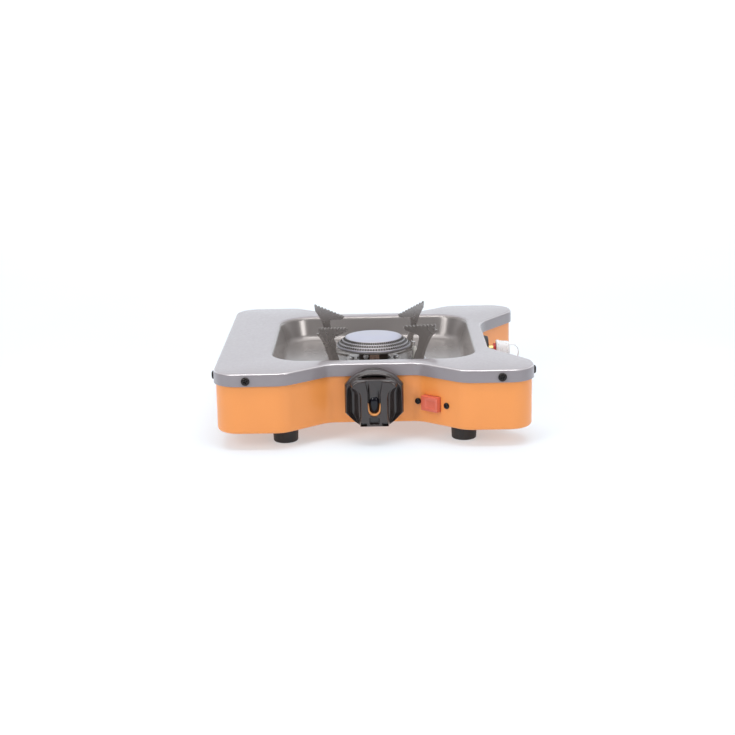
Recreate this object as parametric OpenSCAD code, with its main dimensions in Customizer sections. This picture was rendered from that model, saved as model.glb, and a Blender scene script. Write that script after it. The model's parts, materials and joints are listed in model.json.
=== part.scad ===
// Single-burner camping stove for a gas hose: pressed case and top plate, spill pan, burner on a
// mixer tube, four folded pan supports, gas tap with knob, piezo igniter and capped gas inlet.
// Origin: on the ground below the middle of the top plate. X to the right, Y to the back, Z up. Millimetres.

/* [Body] */
// Width of the top plate, left to right
plate_w = 300; // [290:1:320]
// Depth of the top plate, front to back
plate_d = 296; // [290:1:310]
// Height of the top plate's upper face above the ground
plate_z = 75; // [74:0.5:80]
// Height of the plate's turned-down skirt
skirt_h = 12; // [10:0.5:14]
// Thickness of the sheet steel of case and plate
sheet = 1; // [0.8:0.1:1.2]
// Gap between the plate's edge and the outside of the case
case_inset = 2; // [1.6:0.1:2.4]
// Depth of the recess in the front and back edges
recess_d = 33.5; // [30:0.5:36]
// Depth of the notch in the right-hand edge
notch_d = 38; // [34:0.5:40]

/* [Spill pan] */
// Width of the square pan at its rim
pan_w = 197; // [190:1:200]
// Depth of the pan below the plate
pan_depth = 24; // [22:0.5:25]
// How far each pan wall leans in from rim to floor
pan_draft = 7; // [5:0.5:9]
// Distance of the pan's and burner's centre behind the plate's centre
pan_y = 2; // [0:0.5:3]

/* [Feet] */
// Diameter of a rubber foot
foot_d = 25; // [22:0.5:28]
// Height of a rubber foot
foot_h = 16.5; // [14:0.5:18]
// Sideways distance of the feet from the middle
foot_x = 85; // [80:1:95]
// Front-to-back distance of the feet from the middle
foot_y = 110; // [105:1:115]

/* [Burner] */
// Diameter of the burner cap at its rim
burner_d = 75; // [70:0.5:76]
// Diameter of the flat top of the burner cap
burner_top_d = 58; // [54:0.5:62]
// Height of the burner cap's rim above the pan floor
burner_rim_h = 15.5; // [14:0.5:18]
// Height of the burner cap from rim to top
burner_cap_h = 9; // [8:0.5:12]

/* [Pan supports] */
// Radius of the supports' outer tips
support_r = 81; // [76:1:84]
// Height of the supports' outer tips above the plate
support_rise = 23; // [20:0.5:26]
// Thickness of the supports' sheet
support_sheet = 1.5; // [1.2:0.1:2]
// Turn of the support cross away from the diagonals
support_turn = 4; // [0:1:8]
// Number of saw teeth on a support's top edge
support_teeth = 9; // [6:1:12]

/* [Knob] */
// Width of the knob across its flat sides
knob_w = 55.5; // [53:0.5:57]
// Height of the knob's axis above the ground
knob_z = 45.5; // [44:0.5:47]
// Distance from the case wall to the knob's front face
knob_reach = 27; // [24:0.5:30]

/* [Igniter] */
// Width of the igniter's push button
button_w = 18.8; // [16:0.2:20]
// Height of the igniter's push button
button_h = 14; // [12:0.2:15]
// How far the button stands out of the case
button_out = 5.6; // [5.2:0.2:7]
// How far the button travels when it is pressed
button_travel = 5; // [3:0.5:5]

/* [Gas inlet] */
// Distance of the inlet behind the plate's centre
inlet_y = 44; // [36:1:46]
// Height of the inlet's axis above the ground
inlet_z = 49; // [46:0.5:49]
// Diameter of the inlet's dust cap
cap_d = 20; // [18:0.5:22]

/* [Hidden] */

// Two faces that must not share a plane when one shape cuts another overshoot by this much.
over = 1;
// Radial gap of a shaft that turns or slides in its bore.
running = 0.05;
// Radial gap of a screw in a plain hole.
screw_gap = 0.1;

// Corners of the plate's outline, anticlockwise from the front left: x, y, fillet radius.
corner_r = 24;
shoulder_r = 27;
recess_r = 18;
notch_r = 22;
shoulder_x = 83;
recess_x = 42;
notch_mouth = 110;
notch_floor = 55;
// The notch's back end lies a little further out than its front end and has the wider fillet.
notch_back_mouth = 113;
notch_back_floor = 58.5;
notch_back_r = 45;
corners = [
    [-plate_w / 2, -plate_d / 2, corner_r],
    [-shoulder_x, -plate_d / 2, shoulder_r],
    [-recess_x, recess_d - plate_d / 2, recess_r],
    [recess_x, recess_d - plate_d / 2, recess_r],
    [shoulder_x, -plate_d / 2, shoulder_r],
    [plate_w / 2, -plate_d / 2, corner_r],
    [plate_w / 2, -notch_mouth, corner_r],
    [plate_w / 2 - notch_d, -notch_floor, notch_r],
    [plate_w / 2 - notch_d, notch_back_floor, notch_back_r],
    [plate_w / 2, notch_back_mouth, corner_r],
    [plate_w / 2, plate_d / 2, corner_r],
    [shoulder_x, plate_d / 2, shoulder_r],
    [recess_x, plate_d / 2 - recess_d, recess_r],
    [-recess_x, plate_d / 2 - recess_d, recess_r],
    [-shoulder_x, plate_d / 2, shoulder_r],
    [-plate_w / 2, plate_d / 2, corner_r]
];
corner_count = len(corners);
recess_corner = 3;
arc_steps = 5;

// Heights.
plate_under = plate_z - sheet;
skirt_z = plate_z - skirt_h;
case_floor = foot_h + sheet;
pan_floor = plate_z - pan_depth;
pan_under = pan_floor - sheet;
pan_rim_r = 34;
pan_floor_r = 27;

// Outside of the case wall behind the knob, and the height of the plate's screws.
front_wall = recess_d + case_inset - plate_d / 2;
plate_screw_z = plate_z - 6.8;
plate_screw_x = 118.5;
plate_screw_y = -120;

// Gas tap: places along the knob's axis, measured forwards from the case wall.
spindle_r = 3;
bezel_r = 26.5;
bezel_gap = 2.2;
bezel_face = 7;
knob_back = 7.6;
bezel_peg = 13;
valve_screw_x = 9.8;
valve_screw_y = 7.5;
valve_r = 9;
jet_z = knob_z - 7.5;
jet_y = front_wall + 16.5;
valve_port_y = front_wall + 9.5;
mixer_r = 8;
mixer_bore = 7;
mixer_bend = 10;
neck_r = 15;

// Igniter: the flat flank to the right of the knob, with its wall point and its slant.
flank_way = leaving(corners, recess_corner);
flank_in = left_of(flank_way);
flank_turn = atan2(flank_way[1], flank_way[0]);
button_along = 15.5;
button_z = 37.5;
button_at = xy(inset(corners, case_inset)[recess_corner]) + button_along * flank_way;
igniter_screw_far = 16.8;
spring_turns = 4;
spring_wire = 0.8;
spring_r = 5.2;
flange_back = 3.5;
// The spring behind the button's flange is shut solid just past the end of the button's travel.
housing_back = flange_back + button_travel + spring_turns * spring_wire + 0.8;

// Pan supports.
support_foot = pan_floor + support_sheet;
support_turns = [for (k = [0:3]) 45 + support_turn + 90 * k];
support_top = plate_z + support_rise;
base_ring_r = 28;
base_hole_r = 17;
base_screw_r = 22.5;

// Gas inlet: places measured outwards from the notch's case wall.
notch_wall = plate_w / 2 - notch_d - case_inset;
port_x = notch_wall - 9;
collar_face = 9.5;
cap_from = 17.6;
cap_to = 32;
loop_w = 4;
pipe_r = 3;
pipe_low = 24;
pipe_bend = 8;

// Spark electrode beside the burner.
electrode_x = 41.6;
electrode_y = -1;

// The lead's route from the igniter to the electrode.
lead_start = button_at + 33 * flank_in;
lead_route = [
    [lead_start[0], lead_start[1], button_z],
    [lead_start[0] + 6, lead_start[1] + 9, button_z - 1],
    [86, -70, 33],
    [74, -42, 29],
    [56, -16, 27],
    [44, -3, 30],
    [electrode_x, electrode_y, 37],
    [electrode_x, electrode_y, 44]
];

// ---- outline functions ----
function xy(p) = [p[0], p[1]];
function left_of(v) = [-v[1], v[0]];
function turned(v, a) = [v[0] * cos(a) - v[1] * sin(a), v[0] * sin(a) + v[1] * cos(a)];
function leaving(c, i) =
    let (d = xy(c[(i + 1) % corner_count]) - xy(c[i])) d / norm(d);
function arriving(c, i) = leaving(c, (i + corner_count - 1) % corner_count);
function bend(c, i) =
    let (u = arriving(c, i), v = leaving(c, i)) atan2(u[0] * v[1] - u[1] * v[0], u * v);
// The same outline moved inwards by d: outer fillets shrink and inner ones grow.
function inset(c, d) = [
    for (i = [0:corner_count - 1])
        let (m = left_of(arriving(c, i)), n = left_of(leaving(c, i)), p = xy(c[i]) + d * (m + n) / (1 + m * n))
            [p[0], p[1], c[i][2] - sign(bend(c, i)) * d]
];
function arc_centre(c, i) =
    let (a = bend(c, i), u = arriving(c, i), start = xy(c[i]) - c[i][2] * tan(abs(a) / 2) * u)
        start + sign(a) * c[i][2] * left_of(u);
// A point on corner i's fillet, a share f of the way round it.
function arc_point(c, i, f) =
    let (a = bend(c, i), m = arc_centre(c, i)) m - sign(a) * c[i][2] * turned(left_of(arriving(c, i)), a * f);
function outline_points(d) =
    let (c = inset(corners, d))
        [for (i = [0:corner_count - 1]) for (k = [0:arc_steps]) arc_point(c, i, k / arc_steps)];

module outline(d, low, high) {
    translate([0, 0, low])
        linear_extrude(height = high - low)
            polygon(outline_points(d));
}

// ---- frames of reference ----
// Local Z points forwards, out of the case wall behind the knob, and local Y points up.
module at_knob() {
    translate([0, front_wall, knob_z])
        rotate([90, 0, 0])
            children();
}

// Local Z points outwards from the slanting wall under the button, local X along it and local Y up.
module at_button() {
    translate([button_at[0], button_at[1], button_z])
        rotate([90, 0, flank_turn])
            children();
}

// Local Z points outwards along the gas inlet, from the outside of the notch wall.
module at_inlet() {
    translate([notch_wall, inlet_y, inlet_z])
        rotate([0, 90, 0])
            children();
}

module at_feet() {
    for (x = [-foot_x, foot_x])
        for (y = [-foot_y, foot_y])
            translate([x, y, 0])
                children();
}

module at_burner() {
    translate([0, pan_y, 0])
        children();
}

// Local Z points out of the plate's skirt at each of its six screws.
module at_plate_screws() {
    for (x = [-plate_screw_x, plate_screw_x]) {
        translate([x, -plate_d / 2, plate_screw_z])
            rotate([90, 0, 0])
                children();
        translate([x, plate_d / 2, plate_screw_z])
            rotate([-90, 0, 0])
                children();
    }
    for (side = [-1, 1])
        translate([side * plate_w / 2, plate_screw_y, plate_screw_z])
            rotate([0, side * 90, 0])
                children();
}

// Local Z points out of the wall at each of the igniter's two screws: the left one sits on the
// recess's fillet, where its flat head stands off the hollow wall, the right one on the flat flank.
module at_igniter_screws() {
    c = inset(corners, case_inset);
    share = 0.45;
    stand_off = 0.3;
    p = arc_point(c, recess_corner, share);
    translate([p[0], p[1], button_z])
        rotate([90, 0, bend(c, recess_corner) * share])
            translate([0, 0, stand_off])
                children();
    at_button()
        translate([igniter_screw_far, 0, 0])
            children();
}

// ---- shared shapes ----
module ring(outer, inner, low, high, sides = 96) {
    translate([0, 0, low])
        difference() {
            cylinder(h = high - low, r = outer, $fn = sides);
            translate([0, 0, -over])
                cylinder(h = high - low + 2 * over, r = inner, $fn = 96);
        }
}

module rod(r, low, high) {
    translate([0, 0, low])
        cylinder(h = high - low, r = r, $fn = 64);
}

// A pan-head screw with a cross recess: the head stands on z = 0 and the shank points down.
module pan_screw(head_r, head_h, shank_r, shank_l) {
    difference() {
        union() {
            rotate_extrude($fn = 64)
                polygon(concat([[0, 0], [head_r, 0]], [
                    for (k = [0:6]) let (a = 90 * k / 6)
                        [head_r * (0.62 + 0.38 * cos(a)) * (k == 6 ? 0.55 / 0.62 : 1), head_h * (0.35 + 0.65 * sin(a))]
                ], [[0, head_h]]));
            rod(shank_r, -shank_l, over / 4);
        }
        for (a = [0, 90])
            rotate([0, 0, a + 20])
                translate([-head_r * 0.5, -head_r * 0.1, head_h * 0.45])
                    cube([head_r, head_r * 0.2, head_h]);
    }
}

module hex_nut(across, hole_r, low, high) {
    ring(across / sqrt(3), hole_r, low, high, 6);
}

// A square with round corners, half its width from the middle to a side.
module rounded_slab(half, r, low, high) {
    translate([0, 0, low])
        linear_extrude(height = high - low)
            hull()
                for (x = [-1, 1])
                    for (y = [-1, 1])
                        translate([x * (half - r), y * (half - r)])
                            circle(r = r, $fn = 32);
}

// A pressed pan's solid form: a drafted block between two round-cornered squares.
module pan_form(grow, low, high) {
    slice = 0.01;
    slope = pan_draft / pan_depth;
    half_low = pan_w / 2 - pan_draft + grow + (low - pan_floor) * slope;
    half_high = pan_w / 2 - pan_draft + grow + (high - pan_floor) * slope;
    hull() {
        rounded_slab(half_low, pan_floor_r, low, low + slice);
        rounded_slab(half_high, pan_rim_r, high - slice, high);
    }
}

// ---- body ----
module case() {
    color([0.90, 0.50, 0.26])
        difference() {
            outline(case_inset, foot_h, plate_under);
            outline(case_inset + sheet, case_floor, plate_z);
            at_plate_screws()
                rod(1.5 + screw_gap, -10, 1);
            at_feet()
                rod(2 + screw_gap, foot_h - over, case_floor + over);
            at_knob() {
                rod(5.5 + screw_gap, -2 * sheet, over);
                for (x = [-valve_screw_x, valve_screw_x])
                    translate([x, valve_screw_y, 0])
                        rod(1.5 + screw_gap, -2 * sheet, over);
                for (y = [-bezel_peg, bezel_peg])
                    translate([0, y, 0])
                        rod(1.5 + screw_gap, -2 * sheet, over);
            }
            at_button()
                cube([button_w + 0.8, button_h + 0.8, 6 * sheet], center = true);
            at_igniter_screws()
                rod(1.3 + screw_gap, -3 * sheet, over);
            at_inlet()
                rod(6 + screw_gap, -2 * sheet, over);
            // Air holes under the mixer tube.
            for (x = [-24:12:24])
                translate([x, -62, 0])
                    rod(3.5, foot_h - over, case_floor + over);
        }
}

module top_plate() {
    color([0.66, 0.64, 0.65])
        difference() {
            union() {
                difference() {
                    outline(0, skirt_z, plate_z);
                    outline(sheet, skirt_z - over, plate_under);
                }
                at_burner()
                    pan_form(sheet, pan_under, plate_z - sheet / 2);
            }
            at_burner() {
                pan_form(0, pan_floor, plate_z + over);
                rod(mixer_r, pan_under - over, pan_floor + over);
                for (a = support_turns)
                    rotate([0, 0, a + 45])
                        translate([base_screw_r, 0, 0])
                            rod(1.5 + screw_gap, pan_under - over, pan_floor + over);
                for (x = [-11.5, 11.5])
                    translate([x, 0, 0])
                        rod(1.2 + screw_gap, pan_under - over, pan_floor + over);
            }
            translate([electrode_x, electrode_y, 0])
                rod(2.4 + screw_gap, pan_under - over, pan_floor + over);
            translate([electrode_x + 8, electrode_y, 0])
                rod(1.2 + screw_gap, pan_under - over, pan_floor + over);
            at_plate_screws()
                rod(1.5 + screw_gap, -2, 1);
        }
}

module plate_screws() {
    color([0.12, 0.11, 0.11])
        at_plate_screws()
            pan_screw(4, 2.2, 1.5, 7);
}

module foot() {
    color([0.10, 0.10, 0.10])
        difference() {
            rotate_extrude($fn = 96)
                polygon([
                    [0, 0], [foot_d / 2 - 2.2, 0], [foot_d / 2 - 1.2, 0.5], [foot_d / 2 - 0.8, 1.6],
                    [foot_d / 2, foot_h - 3], [foot_d / 2, foot_h], [0, foot_h]
                ]);
            rod(5, -over, 6);
            rod(2 + screw_gap, 5, foot_h + over);
        }
}

module foot_front_left() {
    translate([-foot_x, -foot_y, 0])
        foot();
}

module foot_front_right() {
    translate([foot_x, -foot_y, 0])
        foot();
}

module foot_back_left() {
    translate([-foot_x, foot_y, 0])
        foot();
}

module foot_back_right() {
    translate([foot_x, foot_y, 0])
        foot();
}

module foot_screws() {
    color([0.72, 0.72, 0.74])
        at_feet()
            translate([0, 0, 6])
                mirror([0, 0, 1])
                    pan_screw(4, 2.4, 2, 16.5);
}

module foot_nuts() {
    color([0.72, 0.72, 0.74])
        at_feet()
            hex_nut(7, 2, case_floor, case_floor + 3.2);
}

// ---- gas tap and knob ----
module knob_bezel() {
    color([0.16, 0.15, 0.15])
        at_knob()
            difference() {
                union() {
                    rod(17.2, 0, bezel_gap + 0.2);
                    rod(bezel_r, bezel_gap + 0.1, bezel_face);
                    for (y = [-bezel_peg, bezel_peg])
                        translate([0, y, 0])
                            rod(1.5, -2.4, 1);
                }
                difference() {
                    rod(15.8, -over, bezel_gap);
                    for (y = [-bezel_peg, bezel_peg])
                        translate([0, y, 0])
                            rod(2.6, -2 * over, bezel_gap + over);
                }
                rod(9.6, -over, bezel_face + over);
                // The dished front inside the rim.
                rod(bezel_r - 2.5, bezel_face - 1.6, bezel_face + over);
            }
}

// The knob's body: an eight-sided skirt whose top side is arched, a scoop on either side, and a grip
// bar that widens into two wings at its top, with a channel down the bar for the pointer.
knob_half = knob_w / 2;
knob_corner = 13.6;
skirt_edge = 15.5;
skirt_face = 19;
scoop_floor = 12.5;
knob_side = [
    [knob_corner, -knob_half], [knob_half, -knob_corner], [knob_half, knob_corner],
    [18, 22.6], [13, 24.9], [6.5, 26.1]
];
grip_side = [[13.4, 2 - knob_half], [13.2, 4], [14.4, 8], [17.2, 11.5], [21.8, 14], [20.5, 17.6], [13.6, 20.3]];
scoop_side = [[12, -21.5], [15, -21.5], [22.8, -13], [23.8, -9], [23.8, 10], [22.6, 12.8], [12, 20.5]];
function both_sides(half, grow) = concat(
    [for (p = half) grow * p],
    [for (k = [len(half) - 1:-1:0]) grow * [-half[k][0], half[k][1]]]
);

module knob_plan(points, low, high) {
    translate([0, 0, low])
        linear_extrude(height = high - low)
            polygon(points);
}

module knob_skirt() {
    difference() {
        union() {
            knob_plan(both_sides(knob_side, 1), knob_back, skirt_edge);
            knob_plan(both_sides(knob_side, 0.94), skirt_edge - over, skirt_face);
        }
        for (side = [0, 1])
            mirror([side, 0, 0])
                knob_plan(scoop_side, scoop_floor, skirt_face + over);
        // The arched slit above the grip bar.
        knob_plan([[-12.5, 19], [12.5, 19], [11, 22], [0, 23], [-11, 22]], scoop_floor, skirt_face + over);
    }
}

module knob() {
    color([0.17, 0.15, 0.15])
        at_knob()
            difference() {
                union() {
                    knob_skirt();
                    knob_plan(both_sides(grip_side, 1), scoop_floor - over, knob_reach);
                }
                // Channel with a round lower end that holds the inlay and the dome.
                translate([0, 0, knob_reach - 6]) {
                    translate([0, -9, 0])
                        cylinder(h = 8, r = 6, $fn = 48);
                    translate([-6, -9, 0])
                        cube([12, 17, 8]);
                }
                translate([-4.5, 5.3 - knob_half, knob_reach - 3])
                    cube([9, 6.8, 4]);
                // Blind hole for the spindle, with its flat.
                difference() {
                    rod(spindle_r, knob_back - over, knob_reach - 8);
                    translate([-spindle_r, 2, 0])
                        cube([2 * spindle_r, 2, knob_reach]);
                }
            }
}

// The pointer's orange trim: a U round the lower end of the dome.
module knob_inlay() {
    color([0.93, 0.55, 0.25])
        at_knob()
            translate([0, -9, 0]) {
                difference() {
                    ring(6, 4.8, knob_reach - 6, knob_reach - 2);
                    translate([-7, 0, knob_reach - 7])
                        cube([14, 7, 6]);
                }
                for (x = [-6, 4.8])
                    translate([x, 0, knob_reach - 6])
                        cube([1.2, 4, 4]);
            }
}

// The black dome, wider at its upper end.
module knob_dome() {
    color([0.06, 0.06, 0.06])
        at_knob()
            translate([0, 0, knob_reach - 6])
                union() {
                    translate([0, -9, 0])
                        cylinder(h = 2.6, r = 4.8, $fn = 64);
                    translate([-4.8, -9, 0])
                        cube([9.6, 7.5, 2.6]);
                    translate([0, -1.5, 0])
                        cylinder(h = 2.6, r = 5.4, $fn = 64);
                    translate([0, -1.5, 2.6])
                        intersection() {
                            translate([0, 0, -5.4])
                                sphere(r = 7.637, $fn = 64);
                            cylinder(h = 3, r = 5.4, $fn = 64);
                        }
                }
}

module valve_spindle() {
    color([0.75, 0.75, 0.76])
        at_knob()
            difference() {
                rod(spindle_r, -10, knob_reach - 8);
                translate([-spindle_r, 2, knob_back - 0.6])
                    cube([2 * spindle_r, 2, knob_reach]);
            }
}

module valve_body() {
    color([0.78, 0.62, 0.34])
        difference() {
            union() {
                at_knob() {
                    rod(5.5, -3, 3.4);
                    rod(valve_r, -jet_y + front_wall, -2.5);
                }
                translate([-7, valve_port_y - 2, jet_z - 7.5])
                    cube([14, jet_y - valve_port_y + 2, knob_z - jet_z + 7.5]);
                translate([0, jet_y - 1, jet_z])
                    rotate([-90, 0, 0])
                        rod(mixer_bore, 0, 6);
                translate([0, valve_port_y, knob_z])
                    rotate([0, 90, 0])
                        rod(5, 0, 16);
            }
            at_knob()
                rod(spindle_r + running, -12, 3.4 + over);
            translate([0, jet_y - 6, jet_z])
                rotate([-90, 0, 0])
                    rod(3, 0, 20);
            translate([0, valve_port_y, knob_z])
                rotate([0, 90, 0])
                    rod(2, 5, 20);
        }
}

module valve_gland_nut() {
    color([0.80, 0.64, 0.36])
        at_knob()
            difference() {
                hex_nut(14, spindle_r + running, 1, 6);
                rod(5.5, 0, 3.4);
                rod(4.4, 3.3, 4.8);
            }
}

module valve_seal() {
    color([0.08, 0.08, 0.08])
        at_knob()
            ring(4.4, spindle_r + running, 3.4, 4.8);
}

module valve_bracket() {
    color([0.70, 0.70, 0.72])
        at_knob()
            difference() {
                translate([-19, -11, -2.5])
                    cube([38, 22, 1.5]);
                rod(5.5, -5, 1);
                for (x = [-valve_screw_x, valve_screw_x])
                    translate([x, valve_screw_y, 0])
                        rod(1.5, -5, 1);
            }
}

module valve_screws() {
    color([0.72, 0.72, 0.74])
        at_knob()
            for (x = [-valve_screw_x, valve_screw_x])
                translate([x, valve_screw_y, 0])
                    pan_screw(2.8, 1.9, 1.5, 5);
}

// ---- gas jet and mixer tube ----
module gas_jet() {
    color([0.85, 0.68, 0.38])
        translate([0, jet_y, jet_z])
            rotate([-90, 0, 0])
                difference() {
                    union() {
                        rod(3, -5, 5.5);
                        translate([0, 0, 5])
                            cylinder(h = 3.5, r = 4.2, $fn = 6);
                        translate([0, 0, 8.5])
                            cylinder(h = 4, r1 = 3, r2 = 1.4, $fn = 64);
                    }
                    rod(0.5, -6, 14);
                }
}

module mixer_tube() {
    tube_from = jet_y + 0.5;
    tube_to = pan_y - mixer_bend;
    color([0.62, 0.62, 0.64])
        difference() {
            union() {
                translate([0, tube_from, jet_z])
                    rotate([-90, 0, 0])
                        ring(mixer_r, mixer_bore, 0, tube_to - tube_from);
                translate([0, tube_to, jet_z + mixer_bend])
                    rotate([0, 90, 0])
                        rotate_extrude(angle = 90, $fn = 96)
                            translate([mixer_bend, 0])
                                difference() {
                                    circle(r = mixer_r, $fn = 64);
                                    circle(r = mixer_bore, $fn = 64);
                                }
                at_burner() {
                    ring(mixer_r, mixer_bore, jet_z + mixer_bend, pan_under);
                    ring(14.5, mixer_bore, pan_under - 1.5, pan_under);
                }
            }
            // Air windows just past the jet.
            translate([-4, tube_from + 7, jet_z - 20])
                cube([8, 10, 40]);
            at_burner()
                for (x = [-11.5, 11.5])
                    translate([x, 0, 0])
                        rod(1.2, pan_under - 3, pan_under + over);
        }
}

module mixer_screws() {
    color([0.72, 0.72, 0.74])
        at_burner()
            for (x = [-11.5, 11.5])
                translate([x, 0, pan_under - 1.5])
                    mirror([0, 0, 1])
                        pan_screw(2.2, 1.5, 1.2, 7.5);
}

// ---- burner ----
rim_z = pan_floor + burner_rim_h;
cup_floor = pan_floor + 9;
module burner_neck() {
    color([0.30, 0.22, 0.19])
        at_burner()
            difference() {
                ring(neck_r, mixer_bore, pan_floor, cup_floor);
                for (x = [-11.5, 11.5])
                    translate([x, 0, 0])
                        rod(1.2, pan_floor - over, pan_floor + 6);
                // Flat seat and hole for the front screw and its tab.
                translate([-20, -neck_r - 10, pan_floor - over])
                    cube([40, 11.5, 20]);
                translate([-8, 0, pan_floor + 6])
                    rotate([90, 0, 0])
                        rod(1, 8, 20);
            }
}

module burner_tab() {
    color([0.55, 0.36, 0.28])
        at_burner()
            translate([-4, -neck_r, pan_floor + 1.6])
                cube([9.5, 1.5, cup_floor - pan_floor - 1.6]);
}

module burner_screw() {
    color([0.85, 0.85, 0.87])
        at_burner()
            translate([-8, 1.5 - neck_r, pan_floor + 6])
                rotate([90, 0, 0])
                    pan_screw(2.7, 2, 1, 5);
}

module burner_cup() {
    rim = burner_d / 2;
    color([0.50, 0.49, 0.49])
        at_burner()
            rotate_extrude($fn = 128)
                polygon([
                    [mixer_bore, cup_floor], [17, cup_floor], [rim - 2.5, rim_z - 2.6], [rim, rim_z - 1.2], [rim, rim_z],
                    [rim - 1, rim_z], [rim - 1, rim_z - 0.7], [rim - 3, rim_z - 1.6], [17, cup_floor + 1],
                    [mixer_bore, cup_floor + 1]
                ]);
}

// Steps down the burner cap's sloping side: a narrow ledge between each two rows of ports.
cap_rows = 3;
cap_wall = 0.8;
cap_dome = 0.8;
module burner_cap() {
    rim = burner_d / 2;
    top = burner_top_d / 2;
    row_r = (rim - top) / cap_rows;
    shoulder_h = burner_cap_h - cap_dome;
    row_h = shoulder_h / cap_rows;
    side = [
        for (k = [0:cap_rows - 1]) for (s = [0, 1])
            s == 0
                ? [rim - row_r * k, rim_z + row_h * k + (k == 0 ? 0 : 0.3)]
                : [rim - row_r * (k + 0.8), rim_z + row_h * (k + 1)]
    ];
    crown = [
        for (k = [1:8]) let (u = 1 - k / 8)
            [top * u, rim_z + shoulder_h + 0.3 + (cap_dome - 0.3) * (1 - u * u)]
    ];
    under = [
        for (k = [8:-1:1]) let (u = 1 - k / 8)
            [(top - cap_wall) * u, rim_z + shoulder_h + 0.3 - cap_wall + (cap_dome - 0.3) * (1 - u * u)]
    ];
    color([0.78, 0.77, 0.80])
        at_burner()
            rotate_extrude($fn = 128)
                polygon(concat(side, crown, under, [
                    [top - cap_wall, rim_z + shoulder_h - cap_wall], [rim - cap_wall - 0.2, rim_z]
                ]));
}

// ---- pan supports ----
module support_base() {
    color([0.47, 0.45, 0.44])
        at_burner()
            difference() {
                union() {
                    rod(base_ring_r, pan_floor, support_foot);
                    for (a = support_turns)
                        rotate([0, 0, a])
                            translate([base_hole_r + 3, -6, pan_floor])
                                cube([64 - base_hole_r - 3, 12, support_sheet]);
                }
                rod(base_hole_r, pan_floor - over, support_foot + over);
                for (a = support_turns)
                    rotate([0, 0, a + 45])
                        translate([base_screw_r, 0, 0])
                            rod(1.5 + screw_gap, pan_floor - over, support_foot + over);
            }
}

module support_screws() {
    color([0.75, 0.75, 0.77])
        at_burner()
            for (a = support_turns)
                rotate([0, 0, a + 45])
                    translate([base_screw_r, 0, support_foot])
                        pan_screw(2.8, 1.9, 1.5, 6);
}

module support_nuts() {
    color([0.72, 0.72, 0.74])
        at_burner()
            for (a = support_turns)
                rotate([0, 0, a + 45])
                    translate([base_screw_r, 0, 0])
                        hex_nut(5.5, 1.5, pan_under - 2.4, pan_under);
}

// The blade's outline in its own plane: distance from the burner's axis, then height.
tip_in = 40;
tip_in_z = support_top - 7;
tooth_h = 1.4;
function tooth_edge() = [
    for (k = [0:support_teeth - 1]) for (s = [0, 1])
        let (
            u = (k + s * 0.7) / support_teeth,
            r = support_r - (support_r - tip_in) * u,
            z = support_top + (tip_in_z - support_top) * u
        ) [r, z - s * tooth_h]
];
// The outer edge from the foot upwards, where a stiffening flange is folded back from the blade.
outer_edge = [
    [61, support_foot], [62.8, pan_floor + 11], [65.5, pan_floor + 18.5], [68.8, pan_floor + 25.5],
    [72.5, pan_floor + 32], [76.5, pan_floor + 36.5], [support_r - 0.8, pan_floor + 40.5]
];
inner_edge = [
    [tip_in, tip_in_z], [41, tip_in_z - 1.8], [43, tip_in_z - 4.2], [57.5, tip_in_z - 6.6],
    [60.2, tip_in_z - 8], [60, tip_in_z - 11], [59.4, tip_in_z - 14], [58, pan_floor + 20],
    [55, pan_floor + 14.5], [53, pan_floor + 9.5], [52.5, support_foot]
];
flange_w = 4.2;

// The side is 1 or -1: which way the flange is folded.
module support_arm(k, side) {
    color([0.46, 0.44, 0.42])
        at_burner()
            rotate([0, 0, support_turns[k]]) {
                translate([0, support_sheet / 2, 0])
                    rotate([90, 0, 0])
                        linear_extrude(height = support_sheet)
                            polygon(concat(tooth_edge(), inner_edge, outer_edge));
                translate([0, (side + 1) * flange_w / 2, 0])
                    rotate([90, 0, 0])
                        linear_extrude(height = flange_w)
                            polygon(concat(outer_edge, [
                                for (i = [len(outer_edge) - 1:-1:0]) outer_edge[i] - [support_sheet, -0.4]
                            ]));
            }
}

module support_arm_back_right() {
    support_arm(0, 1);
}

module support_arm_back_left() {
    support_arm(1, -1);
}

module support_arm_front_left() {
    support_arm(2, -1);
}

module support_arm_front_right() {
    support_arm(3, 1);
}

// ---- igniter ----
module igniter_button() {
    color([0.84, 0.38, 0.31])
        at_button()
            difference() {
                union() {
                    translate([-button_w / 2, -button_h / 2, -flange_back + 0.5])
                        cube([button_w, button_h, button_out + flange_back - 0.5]);
                    translate([-button_w / 2 - 1.6, -button_h / 2 - 1.6, -flange_back])
                        cube([button_w + 3.2, button_h + 3.2, 1.2]);
                }
                // The shallow thumb panel in the face.
                translate([-button_w / 2 + 5, -button_h / 2 + 3, button_out - 0.5])
                    cube([button_w - 7.5, button_h - 6, 1]);
            }
}

module igniter_plunger() {
    color([0.80, 0.80, 0.78])
        at_button()
            rod(3, -flange_back - 17, -flange_back);
}

module igniter_spring() {
    coil_l = housing_back - flange_back;
    steps = 16 * spring_turns;
    sides = 6;
    rise = (coil_l - spring_wire * 1.2) / spring_turns;
    points = [
        for (k = [0:steps]) for (s = [0:sides - 1])
            let (t = k / 16, a = t * 360, q = s * 360 / sides, r = spring_r + spring_wire / 2 * cos(q))
                [r * cos(a), r * sin(a), t * rise + spring_wire / 2 * sin(q)]
    ];
    faces = concat([[for (s = [0:sides - 1]) s]], [
        for (k = [0:steps - 1]) for (s = [0:sides - 1])
            let (p = k * sides + s, q = k * sides + (s + 1) % sides)
                [p, p + sides, q + sides, q]
    ], [[for (s = [sides - 1:-1:0]) steps * sides + s]]);
    color([0.72, 0.72, 0.74])
        at_button()
            translate([0, 0, -housing_back + spring_wire * 0.6])
                polyhedron(points = points, faces = faces);
}

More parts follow.
